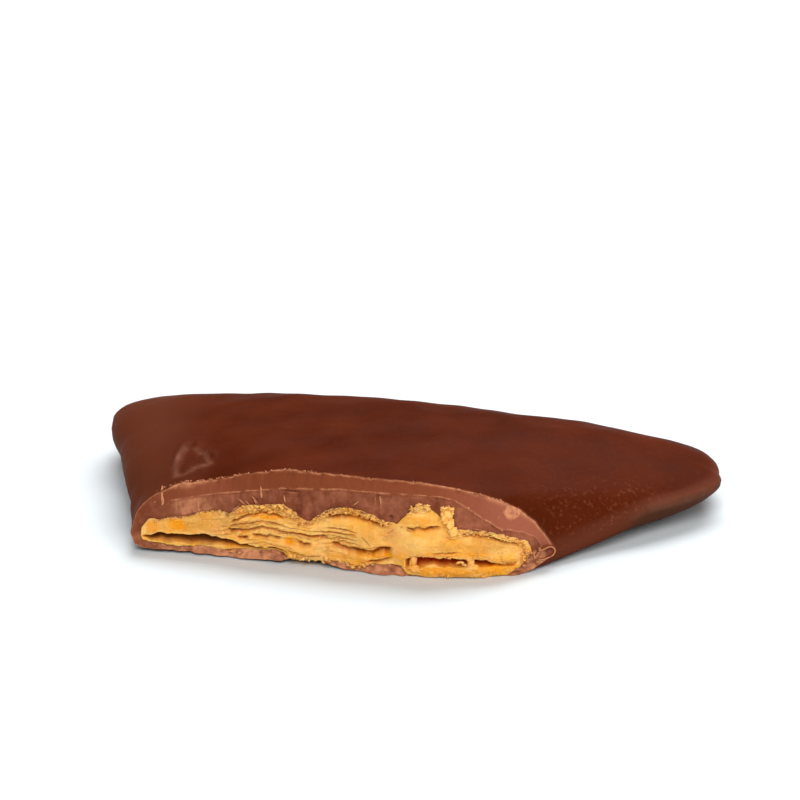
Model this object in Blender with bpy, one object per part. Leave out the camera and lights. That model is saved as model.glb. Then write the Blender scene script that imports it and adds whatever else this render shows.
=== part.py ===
# Broken half of a chocolate-coated florentine-style cookie with a flaky, layered filling.
# It lies flat. The broken face looks along -Y, X runs to the right and Z is up.
import bmesh
import bpy
import numpy as np

MM = 0.001
WELD = 0.000002

# Plan of the half in millimetres: the ends of the broken face, the right tip and the two back corners
FACE_LEFT = np.array((-29.3, 8.6))
FACE_RIGHT = np.array((14.0, 4.6))
RIGHT_TIP = np.array((34.0, 19.5))
BACK_RIGHT = np.array((32.6, 32.5))
BACK_LEFT = np.array((-36.0, 49.0))
FACE_BULGE = 5.6
TIP_SHARE = 0.58
TIP_ROUNDING = 0.11
BACK_ROUNDING_START = 0.74
BACK_NARROWING = 0.14

# Heights in millimetres
CROWN = 9.5
WING_FALL = 0.50
LEFT_FALL = 0.12
RIM_LEFT = 4.4
RIM_RIGHT = 3.3
SKIN_WAVE = 0.16
FRONT_REACH = 0.32
FLAT_BELOW = 0.1

# Outlines of the broken face, left to right, as distance and height: its outer top edge, the ridge under its
# slanted upper facet, the chocolate roof over the filling, the lip under the filling and the underside
TOP_EDGE = (
    (-29.3, 1.9), (-28.9, 4.0), (-27.4, 5.4), (-25.1, 6.7), (-21.7, 7.4), (-18.9, 8.1), (-13.4, 9.4),
    (0.3, 9.4), (3.8, 8.8), (8.3, 7.4), (10.4, 6.2), (11.9, 4.9), (13.2, 3.1), (14.0, 1.6),
)
RIDGE = (
    (-28.6, 3.8), (-27.5, 4.9), (-22.1, 6.3), (-13.3, 7.8), (-7.2, 8.4), (2.3, 8.4), (4.0, 7.9), (9.8, 3.9),
    (12.6, 2.0),
)
ROOF = (
    (-28.3, 1.8), (-27.9, 3.2), (-23.7, 4.0), (-20.6, 5.1), (-19.2, 4.9), (-15.7, 6.0), (-13.8, 6.1),
    (-11.9, 4.7), (-10.7, 4.7), (-9.2, 5.8), (-6.6, 6.5), (-4.9, 5.5), (-3.2, 5.4), (-1.5, 6.0),
    (0.9, 7.4), (2.8, 7.3), (4.6, 5.5), (6.5, 4.9), (10.2, 3.8), (11.1, 3.1), (11.4, 2.1),
)
LIP = (
    (-28.3, 1.8), (-27.4, 1.3), (-18.9, 0.95), (-13.5, 1.5), (-12.9, 1.0), (-6.6, 0.8), (-1.7, 1.1), (0.0, 0.5),
    (8.5, 0.5), (11.4, 2.1),
)
UNDERSIDE = (
    (-29.3, 1.9), (-28.2, 0.6), (-25.0, 0.4), (-18.5, 0.15), (-9.0, 0.4), (-6.0, 0.1), (-2.0, 0.0), (10.5, 0.0),
    (12.5, 0.4), (14.0, 1.6),
)
FACET_LEAN = 2.6
RIDGE_OUT = 0.8
MOUTH_OUT = 0.4
FACET_ROUGHNESS = 0.16

# Chips out of the lower lip of chocolate: middle, half width and depth
LIP_CHIPS = ((-12.2, 1.8, 1.4), (2.3, 4.6, 1.7), (7.6, 1.8, 1.2))
LIP_RAGGEDNESS = 0.22

# Walls of chocolate behind the break, the least room in the hollow, and the clearance round the filling
ROOF_THICK = 2.8
BELLY_THICK = 1.1
LEFT_WALL = 1.8
RIGHT_WALL = 4.2
LEFT_END_WALL = 0.7
RIGHT_END_WALL = 2.6
LEAST_COVER = 1.1
LEAST_HOLLOW = 1.1
LEAST_FLAKE = 0.06
CAVITY_DEPTH = 0.94
BACK_LENGTH = 30.0
CLEARANCE = 0.4
BACK_CLEARANCE = 0.12
CORNER_CLEARANCE = 5.0

# Hollows in the broken filling: left, right, bottom, top and depth
HOLLOWS = (
    (-28.0, -12.8, 1.2, 2.5, 4.2),
    (2.4, 9.6, 0.9, 2.1, 3.0),
    (-19.5, -14.5, 4.6, 5.1, 1.4),
    (-1.5, 3.8, 5.3, 5.8, 1.2),
)
FLAKE_LAYERS = 8
FLAKE_STEP = 1.0
GROOVE_DEPTH = 0.8

# Grid sizes
COLUMNS = 76
SKIN_ROWS = 14
INNER_ROWS = 8
FACE_ROWS = 21


def smooth_step(t):
    """Runs from 0 to 1 with level ends."""
    t = np.clip(t, 0.0, 1.0)
    return t * t * (3.0 - 2.0 * t)


def along(outline, x):
    """Height of an outline at x."""
    points = np.array(outline)
    return np.interp(x, points[:, 0], points[:, 1])


def round_bump(x, middle, half_width, rise):
    """A single cosine-squared hump."""
    t = np.clip((x - middle) / half_width, -1.0, 1.0)
    return rise * np.cos(t * np.pi / 2) ** 2


def ripple(x, y, seed):
    """Slow, slightly irregular waves between about -1 and 1."""
    first = np.sin(0.61 * x + 0.23 * y + 1.7 * seed)
    second = np.sin(-0.37 * x + 0.71 * y + 2.9 * seed)
    third = np.sin(1.33 * x - 0.52 * y + 0.6 * seed)
    return 0.45 * first + 0.35 * second + 0.2 * third


def crackle(x, seed):
    """Fast, sharp-cornered waves along the break, between about -1 and 1."""
    total = 0.0
    for octave, share in enumerate((0.5, 0.3, 0.2)):
        phase = x * 0.9 * 1.9**octave + seed * (2.3 + octave)
        total = total + share * (2.0 / np.pi) * np.arcsin(np.sin(phase))
    return total


def bent(v):
    """How far the right edge has turned the corner of the tip, for depth v."""

    def lean(t):
        return (t - TIP_SHARE + np.sqrt((t - TIP_SHARE) ** 2 + TIP_ROUNDING**2)) / 2

    return (lean(v) - lean(0.0)) / (lean(1.0) - lean(0.0)) * (1.0 - TIP_SHARE)


def plan_point(a, v):
    """Plan position: a runs from -1 at the left edge to 1 at the right, v from 0 at the break to 1 at the back."""
    depth = v[..., None]
    turned = bent(v)[..., None]
    left = (1.0 - depth) * FACE_LEFT + depth * BACK_LEFT
    right = (
        FACE_RIGHT
        + (RIGHT_TIP - FACE_RIGHT) * (depth - turned) / TIP_SHARE
        + (BACK_RIGHT - RIGHT_TIP) * turned / (1.0 - TIP_SHARE)
    )
    near_back = np.clip((v - BACK_ROUNDING_START) / (1.0 - BACK_ROUNDING_START), 0.0, 1.0)
    narrowing = 1.0 - BACK_NARROWING * (1.0 - np.sqrt(1.0 - near_back**2))
    share = ((a * narrowing + 1.0) / 2.0)[..., None]
    point = (1.0 - share) * left + share * right
    across = np.clip((a + 1.0) / 2.0, 0.0, 1.0)
    bulge = FACE_BULGE * np.sin(np.pi * across**2.2) ** 0.75
    point[..., 1] -= (1.0 - v) ** 2.5 * bulge
    return point


def end_rounding(a, power):
    """1 over the middle of a section, rounded down to 0 at both of its ends."""
    return np.sqrt(np.clip(1.0 - np.abs(a) ** power, 0.0, 1.0))


def back_rounding(v, start):
    """1 over most of the depth, rounded down to 0 at the back edge."""
    return np.sqrt(np.clip(1.0 - np.clip((v - start) / (1.0 - start), 0.0, 1.0) ** 2, 0.0, 1.0))


def spread(columns):
    """Positions across a section from -1 to 1, closer together towards its ends."""
    t = np.linspace(-1.0, 1.0, columns + 1)
    return t * (1.25 - 0.25 * t * t)


def outer_height(a, v, upper):
    """Height of the outer chocolate surface: the outline of the break in front, a low dome behind it."""
    front = np.zeros_like(v)
    x = plan_point(a, front)[..., 0]
    behind = smooth_step(v / FRONT_REACH)
    rim = RIM_LEFT + (RIM_RIGHT - RIM_LEFT) * (a + 1.0) / 2.0
    if upper:
        to_left = np.clip((-0.05 - a) / 0.95, 0.0, 1.0)
        to_right = np.clip((a + 0.05) / 1.05, 0.0, 1.0)
        crown = CROWN * (1.0 - LEFT_FALL * to_left**2 - WING_FALL * to_right**1.6)
        dome = rim + (crown - rim) * end_rounding(a, 5.0) * back_rounding(v, 0.62)
        return along(TOP_EDGE, x) * (1.0 - behind) + dome * behind
    hull = rim * (1.0 - end_rounding(a, 7.0) * back_rounding(v, 0.75))
    height = along(UNDERSIDE, x) * (1.0 - behind) + hull * behind
    return np.where(height < FLAT_BELOW, 0.0, height)


def outer_point(a, v, upper):
    """A point of the outer chocolate surface, on its upper or lower side."""
    point = plan_point(a, v)
    height = outer_height(a, v, upper)
    if upper:
        roundness = end_rounding(a, 5.0)
        wave = ripple(point[..., 0], point[..., 1], 1) * roundness * back_rounding(v, 0.5)
        height = height + SKIN_WAVE * wave * smooth_step(v / 0.2)
        point[..., 1] += FACET_LEAN * roundness * (1.0 - v) ** 2
    else:
        point[..., 1] += lip_chip(point[..., 0]) * end_rounding(a, 6.0) * (1.0 - v) ** 8
    return np.concatenate([point, height[..., None]], axis=-1)


def lip_chip(x):
    """How far the lower lip of chocolate is broken back at x."""
    depth = LIP_RAGGEDNESS * (1.0 + crackle(x, 5))
    for middle, half_width, deep in LIP_CHIPS:
        depth = depth + round_bump(x, middle, half_width, deep)
    return depth


def cavity_point(a, reach, upper, inset):
    """A point of the hollow that the filling lies in, moved into the hollow by inset."""
    v = reach * CAVITY_DEPTH - BACK_CLEARANCE * inset * reach**6
    behind = smooth_step(v / 0.14)
    width = plan_point(np.ones_like(v), v)[..., 0] - plan_point(-np.ones_like(v), v)[..., 0]
    left_wall = LEFT_END_WALL * (1.0 - behind) + LEFT_WALL * behind
    right_wall = RIGHT_END_WALL * (1.0 - behind) + RIGHT_WALL * behind
    low = -1.0 + 2.0 * left_wall / width
    high = 1.0 - 2.0 * right_wall / width
    side_inset = inset * (1.0 + CORNER_CLEARANCE * reach**4) * 2.0 / width
    inner = low + (high - low) * (a + 1.0) / 2.0 - np.sign(a) * np.abs(a) ** 6 * side_inset
    point = plan_point(inner, v)
    x = point[..., 0]
    above = np.clip(v - FACET_LEAN * (1.0 - v) ** 2 / BACK_LENGTH, 0.0, 1.0)
    cover = outer_height(inner, above, True) - LEAST_COVER
    dome = np.minimum(outer_height(inner, v, True) - ROOF_THICK, cover)
    belly_behind = outer_height(inner, v, False) + BELLY_THICK
    roof = along(ROOF, x) * (1.0 - behind) + np.maximum(dome, belly_behind + LEAST_HOLLOW) * behind
    belly = along(LIP, x) * (1.0 - behind) + belly_behind * behind
    roundness = end_rounding(a, 8.0) * behind + (1.0 - behind)
    roundness = np.where(np.abs(a) > 0.999, 0.0, roundness) * back_rounding(reach, 0.7)
    half = np.maximum(0.5 * (roof - belly) - inset, LEAST_FLAKE)
    height = 0.5 * (roof + belly) + np.where(upper, 1.0, -1.0) * half * roundness
    point[..., 1] += MOUTH_OUT * (1.0 - v) ** 8
    if not upper:
        point[..., 1] += lip_chip(x) * end_rounding(a, 6.0) * (1.0 - v) ** 8
    return np.concatenate([point, height[..., None]], axis=-1)


def flake_relief(x, height, low, high):
    """How far each point of the broken filling lies behind the face: layers, grooves and hollows."""
    sway = 0.35 * ripple(x, height, 2) + round_bump(x, -15.0, 4.5, -0.5) + round_bump(x, -7.0, 3.5, -0.5)
    phase = FLAKE_LAYERS * (height - low) / np.maximum(high - low, 0.5) + 1.1 * sway
    layer = np.floor(phase)
    within = phase - layer
    ragged = 0.5 + 0.5 * crackle(x * (0.7 + 0.13 * (layer % 3)), 3.1 * layer)
    back = FLAKE_STEP * ragged + 0.5 * np.abs(np.sin(1.9 * layer))
    back = back + GROOVE_DEPTH * (1.0 - smooth_step(within / 0.3))
    for left, right, bottom, top, depth in HOLLOWS:
        across = np.clip((x - left) / (right - left), 0.0, 1.0)
        reach = np.sin(np.pi * across) ** 0.5
        middle = 0.5 * (bottom + top) + 0.2 * ripple(x, 0.0, 4)
        upright = np.clip(1.0 - np.abs(height - middle) / (0.5 * (top - bottom) * reach + 0.05), 0.0, 1.0)
        back = back + depth * reach * smooth_step(2.5 * upright)
    return back


class Shell:
    """Collects rows of points and the quads between them, and builds one closed mesh object."""

    def __init__(self):
        self.points = []
        self.faces = []

    def row(self, points):
        start = len(self.points)
        self.points.extend(map(tuple, points))
        return list(range(start, len(self.points)))

    def strips(self, rows):
        for first, second in zip(rows, rows[1:]):
            for left in range(len(first) - 1):
                self.faces.append((first[left], first[left + 1], second[left + 1]))
                self.faces.append((first[left], second[left + 1], second[left]))

    def build(self, name, material, shift):
        points = (np.array(self.points) + shift) * MM
        mesh = bpy.data.meshes.new(name)
        mesh.from_pydata(points.tolist(), [], self.faces)
        mesh.materials.append(material)
        obj = bpy.data.objects.new(name, mesh)
        bpy.context.scene.collection.objects.link(obj)
        close_mesh(mesh)
        mesh.shade_smooth()
        mesh.set_sharp_from_angle(angle=np.radians(40.0))


def close_mesh(mesh):
    """Welds the rows that meet and turns all faces outwards."""
    work = bmesh.new()
    work.from_mesh(mesh)
    bmesh.ops.remove_doubles(work, verts=work.verts, dist=WELD)
    bmesh.ops.dissolve_degenerate(work, edges=work.edges, dist=WELD)
    bmesh.ops.recalc_face_normals(work, faces=work.faces)
    work.to_mesh(mesh)
    work.free()


def loop(maker, a, v):
    """One closed loop at depth v: its upper side from left to right, then its lower side back again."""
    level = np.full_like(a, v)
    return np.concatenate([maker(a, level, True), maker(a, level, False)[::-1]])


def break_rows(edge, mouth, a):
    """Rows across the broken chocolate, between its outer edge and the mouth of the hollow."""
    upper = np.arange(2 * len(a)) < len(a)
    rounded = end_rounding(np.concatenate([a, a[::-1]]), 8.0)
    ridge = 0.5 * (edge + mouth)
    front = ridge[:, 1].copy()
    line = face_line(ridge[:, 0])
    height = np.clip(along(RIDGE, ridge[:, 0]), mouth[:, 2] + 0.3, np.maximum(edge[:, 2] - 0.25, mouth[:, 2] + 0.3))
    ridge[:, 2] = np.where(upper, ridge[:, 2] + (height - ridge[:, 2]) * rounded, ridge[:, 2])
    out = line + RIDGE_OUT + FACET_ROUGHNESS * crackle(ridge[:, 0], 1)
    ridge[:, 1] = np.where(upper, front + (out - front) * rounded, front)
    facet = 0.5 * (edge + ridge)
    facet[:, 1] += np.where(upper, 0.5 * FACET_ROUGHNESS * crackle(facet[:, 0], 2) * rounded, 0.0)
    wall = 0.5 * (ridge + mouth)
    wall[:, 1] += np.where(upper, 1.5 * FACET_ROUGHNESS * crackle(wall[:, 0], 3) * rounded, 0.0)
    return [facet, ridge, wall]


def face_line(x):
    """Depth of the broken face at x."""
    a = np.linspace(-1.0, 1.0, 200)
    line = plan_point(a, np.zeros_like(a))
    return np.interp(x, line[:, 0], line[:, 1])


def row_depths(rows, gathering):
    """Depths from 0 to 1, closer together towards the back."""
    return 1.0 - (1.0 - np.linspace(0.0, 1.0, rows)) ** gathering


def coating_shell():
    """The chocolate: outer skin, break and the walls of the hollow."""
    shell = Shell()
    a = spread(COLUMNS)

    def hollow(across, reach, upper):
        return cavity_point(across, reach, upper, 0.0)

    edge = loop(outer_point, a, 0.0)
    mouth = loop(hollow, a, 0.0)
    skin_rows = [shell.row(loop(outer_point, a, v)) for v in row_depths(SKIN_ROWS, 1.5)]
    broken_rows = [shell.row(points) for points in break_rows(edge, mouth, a)]
    hollow_rows = [shell.row(loop(hollow, a, reach)) for reach in row_depths(INNER_ROWS, 1.2)]
    shell.strips(skin_rows)
    shell.strips([skin_rows[0], *broken_rows, hollow_rows[0]])
    shell.strips(hollow_rows)
    return shell


def filling_shell():
    """The filling: the skin inside the hollow and the layered broken face."""
    shell = Shell()
    a = spread(COLUMNS)

    def skin(reach, upper):
        return cavity_point(a, np.full_like(a, reach), upper, CLEARANCE)

    top = skin(0.0, True)
    bottom = skin(0.0, False)
    face_rows = []
    for share in np.linspace(0.0, 1.0, FACE_ROWS):
        point = bottom * (1.0 - share) + top * share
        relief = flake_relief(point[:, 0], point[:, 2], bottom[:, 2], top[:, 2])
        point[:, 1] += relief * end_rounding(a, 8.0)
        face_rows.append(shell.row(point))
    upper_rows = [face_rows[-1]]
    lower_rows = [face_rows[0]]
    for reach in row_depths(INNER_ROWS, 1.2)[1:]:
        upper_rows.append(shell.row(skin(reach, True)))
        lower_rows.append(shell.row(skin(reach, False)))
    lower_rows = [row[::-1] for row in lower_rows]
    shell.strips(face_rows)
    shell.strips(upper_rows)
    shell.strips(lower_rows)
    return shell


def make_material(name, colour, roughness, coat):
    """A Principled material of one colour."""
    material = bpy.data.materials.new(name)
    material.use_nodes = True
    shader = material.node_tree.nodes["Principled BSDF"]
    shader.inputs["Base Color"].default_value = (*colour, 1.0)
    shader.inputs["Roughness"].default_value = roughness
    shader.inputs["Metallic"].default_value = 0.0
    shader.inputs["Coat Weight"].default_value = coat
    return material


def clear_scene():
    for obj in list(bpy.data.objects):
        bpy.data.objects.remove(obj, do_unlink=True)


def main():
    clear_scene()
    chocolate = make_material("milk_chocolate", (0.13, 0.035, 0.015), 0.35, 0.1)
    crunch = make_material("golden_flakes", (0.79, 0.38, 0.07), 0.6, 0.0)
    coating = coating_shell()
    filling = filling_shell()
    points = np.array(coating.points)
    low = points.min(axis=0)
    high = points.max(axis=0)
    shift = np.array((-(low[0] + high[0]) / 2, -(low[1] + high[1]) / 2, -low[2]))
    coating.build("chocolate_coating", chocolate, shift)
    filling.build("flaky_filling", crunch, shift)


main()
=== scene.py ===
import math

import bmesh
import bpy
import numpy as np
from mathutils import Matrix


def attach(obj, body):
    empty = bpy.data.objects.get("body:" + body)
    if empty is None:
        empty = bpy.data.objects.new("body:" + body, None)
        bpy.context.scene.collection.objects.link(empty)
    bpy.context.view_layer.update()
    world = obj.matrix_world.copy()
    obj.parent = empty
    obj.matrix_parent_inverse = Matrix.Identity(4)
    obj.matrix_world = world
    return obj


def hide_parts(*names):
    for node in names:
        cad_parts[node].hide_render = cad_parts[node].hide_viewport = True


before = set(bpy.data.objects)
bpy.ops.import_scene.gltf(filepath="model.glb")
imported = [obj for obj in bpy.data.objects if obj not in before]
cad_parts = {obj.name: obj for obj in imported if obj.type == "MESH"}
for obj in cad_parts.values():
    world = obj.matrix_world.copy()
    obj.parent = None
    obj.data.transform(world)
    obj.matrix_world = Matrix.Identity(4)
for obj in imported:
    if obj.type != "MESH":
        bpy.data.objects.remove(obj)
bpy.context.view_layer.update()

# All shapes below are drawn in millimetres, with the floor at z = 0 and the middle of the break near y = 0
mm = 0.001
weldDistance = 0.001 * mm
drawingShift = np.array((0.7707, -24.1235, 0.0))  # from the drawing's axes to the frame's

# Outlines of the broken face, left to right, as distance and height
faceOutlines = {
    "topEdge": (
        (-29.3, 1.9), (-29.1, 3.0), (-28.7, 4.17), (-28.1, 4.83), (-27.4, 5.42), (-26.4, 6.07),
        (-25.1, 6.69), (-24.0, 7.15), (-21.7, 7.37), (-18.9, 8.14), (-15.7, 8.87), (-13.4, 9.35),
        (-9.8, 9.4), (-4.7, 9.37), (0.3, 9.35), (3.8, 8.8), (6.3, 8.2), (8.3, 7.44), (10.4, 6.26),
        (11.9, 4.89), (12.9, 3.45), (14.0, 1.6),
    ),
    "ridge": (
        (-28.8, 3.6), (-28.4, 4.5), (-27.5, 5.1), (-25.2, 5.5), (-22.1, 6.3), (-17.4, 7.2), (-13.3, 7.88),
        (-7.2, 8.41), (-1.7, 8.49), (2.3, 8.45), (3.8, 8.1), (5.3, 7.09), (6.8, 5.98), (8.3, 4.81),
        (9.8, 3.95), (11.4, 3.3), (12.6, 2.0),
    ),
    "roof": (
        (-28.3, 1.8), (-28.2, 2.63), (-27.7, 3.3), (-27.3, 3.64), (-26.3, 3.54), (-25.2, 3.93),
        (-23.9, 4.02), (-22.4, 4.57), (-20.9, 4.96), (-20.1, 5.08), (-19.1, 4.75), (-18.2, 5.43),
        (-17.1, 5.96), (-15.7, 6.1), (-13.6, 6.33), (-12.7, 5.63), (-11.9, 4.93), (-10.9, 4.72),
        (-10.4, 5.21), (-9.2, 6.08), (-8.4, 6.49), (-7.0, 6.81), (-5.7, 6.53), (-4.5, 6.18), (-3.5, 5.55),
        (-2.1, 5.57), (-1.1, 6.49), (-0.4, 7.38), (0.8, 7.71), (1.9, 6.77), (3.0, 5.75), (4.2, 5.13),
        (5.5, 5.06), (7.3, 4.7), (9.1, 4.09), (10.3, 3.7), (10.9, 3.4), (11.25, 2.8), (11.4, 2.1),
    ),
    "lip": (
        (-28.3, 1.8), (-28.1, 1.35), (-27.4, 1.15), (-26.3, 1.11), (-24.8, 0.88), (-22.2, 1.03),
        (-19.1, 0.94), (-15.9, 1.21), (-14.4, 1.5), (-13.6, 1.4), (-13.1, 0.95), (-10.8, 1.0),
        (-10.2, 1.18), (-7.2, 1.01), (-6.2, 0.57), (-5.1, 1.04), (-2.7, 1.24), (-1.6, 1.2), (-1.2, 0.5),
        (0.8, 0.25), (4.8, 0.27), (6.8, 0.12), (9.1, 0.25), (10.3, 0.74), (10.9, 1.4), (11.4, 2.1),
    ),
    "underside": (
        (-29.3, 1.9), (-29.0, 1.0), (-28.2, 0.5), (-25.0, 0.4), (-18.5, 0.15), (-13.0, 0.4), (-9.0, 0.45),
        (-7.0, 0.15), (-2.0, 0.02), (10.5, 0.02), (11.8, 0.3), (12.8, 0.8), (14.0, 1.6),
    ),
}


def along(name, x, softness=0.0):
    # Straight lines through an outline's points, read at five places round x and averaged
    points = np.array(faceOutlines[name])
    reads = ((-1.0, 0.12), (-0.5, 0.22), (0.0, 0.32), (0.5, 0.22), (1.0, 0.12))
    return sum(w * np.interp(x + offset * softness, points[:, 0], points[:, 1]) for offset, w in reads)


def unit(t):
    # Kept from 0 to 1
    return np.clip(t, 0.0, 1.0)


def smoothStep(t):
    # t squared times (3 minus 2 t), so it runs from 0 to 1 with level ends
    t = unit(t)
    return t * t * (3.0 - 2.0 * t)


def bell(t, wide):
    # 1 at 0, falling with the square of t over the width
    return np.exp(-((t / wide) ** 2))


def scrambled(ix, iy, iz, seed):
    # Whole numbers times large odd numbers, folded on themselves, as an even spread from 0 to 1
    n = (ix * 374761393 + iy * 668265263 + iz * 1103515245 + seed * 974634777) & 0xFFFFFFFF
    n = ((n ^ (n >> 13)) * 1274126177) & 0xFFFFFFFF
    n = n ^ (n >> 16)
    return n / 4294967295.0


def noise(x, y, z, seed):
    # A scrambled value at each corner of unit cells, blended along x, y and z by smooth steps, from -1 to 1
    x, y, z = np.broadcast_arrays(np.asarray(x, float), np.asarray(y, float), np.asarray(z, float))
    corner = [np.floor(c).astype(np.int64) for c in (x, y, z)]
    share = [smoothStep(c - f) for c, f in zip((x, y, z), corner)]
    total = np.zeros(x.shape)
    for dx in (0, 1):
        for dy in (0, 1):
            for dz in (0, 1):
                wx = share[0] if dx else 1.0 - share[0]
                wy = share[1] if dy else 1.0 - share[1]
                wz = share[2] if dz else 1.0 - share[2]
                total += wx * wy * wz * scrambled(corner[0] + dx, corner[1] + dy, corner[2] + dz, seed)
    return 2.0 * total - 1.0


def roughNoise(x, y, z, seed, octaves=3, gain=0.5):
    # The same noise added up, each time at twice the fineness and a smaller height
    total = 0.0
    height = 1.0
    for octave in range(octaves):
        total = total + height * noise(x * 2.0**octave, y * 2.0**octave, z * 2.0**octave, seed + octave)
        height *= gain
    return total


def blob(x, z, middleX, middleZ, wide, tall):
    # A bell over the face: 1 in the middle, falling with the squared distance over its two radii
    return np.exp(-(((x - middleX) / wide) ** 2) - ((z - middleZ) / tall) ** 2)


def gridQuads(grids):
    # Four neighbouring point numbers for each cell of one grid, or of each in a stack of grids
    index = np.arange(grids[..., 0].size).reshape(grids.shape[:-1])
    corners = [index[..., :-1, :-1], index[..., :-1, 1:], index[..., 1:, 1:], index[..., 1:, :-1]]
    return np.stack(corners, axis=-1).reshape(-1, 4)


def makePiece(name, grids, material, attributes):
    # Puts whole grids of points into a mesh, welds seams and poles, and turns its faces outwards
    points = np.concatenate([grid.reshape(-1, 3) for grid in grids])
    starts = np.cumsum([0] + [grid.size // 3 for grid in grids])
    quads = np.concatenate([gridQuads(grid) + start for grid, start in zip(grids, starts)])
    mesh = bpy.data.meshes.new(name)
    places = (points + drawingShift) * mm
    mesh.vertices.add(len(places))
    mesh.vertices.foreach_set("co", places.astype(np.float32).ravel())
    mesh.loops.add(quads.size)
    mesh.loops.foreach_set("vertex_index", quads.astype(np.int32).ravel())
    mesh.polygons.add(len(quads))
    mesh.polygons.foreach_set("loop_start", np.arange(0, quads.size, 4, dtype=np.int32))
    mesh.update(calc_edges=True)
    for key, values in attributes.items():
        layer = mesh.attributes.new(key, "FLOAT", "POINT")
        layer.data.foreach_set("value", np.asarray(values, np.float32).ravel())
    work = bmesh.new()
    work.from_mesh(mesh)
    bmesh.ops.remove_doubles(work, verts=work.verts, dist=weldDistance)
    bmesh.ops.dissolve_degenerate(work, edges=work.edges, dist=weldDistance / 2.0)
    bmesh.ops.recalc_face_normals(work, faces=work.faces)
    work.to_mesh(mesh)
    work.free()
    mesh.shade_smooth()
    mesh.materials.append(material)
    piece = bpy.data.objects.new(name, mesh)
    bpy.context.scene.collection.objects.link(piece)
    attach(piece, "root")
    print("made", name, len(mesh.polygons), "faces")
    return piece


def tints(names, like, **given):
    # Each named tint over the shape of one array: the value that is given, or else 0
    return {name: given.get(name, 0.0) + np.zeros(np.shape(like)) for name in names}


chocolateTints = ("fresh", "pale", "facet", "light", "rub", "tone", "under", "leftSide", "side", "fold")
fillingTints = ("raised", "orange", "sunk", "seam", "rim", "dull", "dim")


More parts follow.
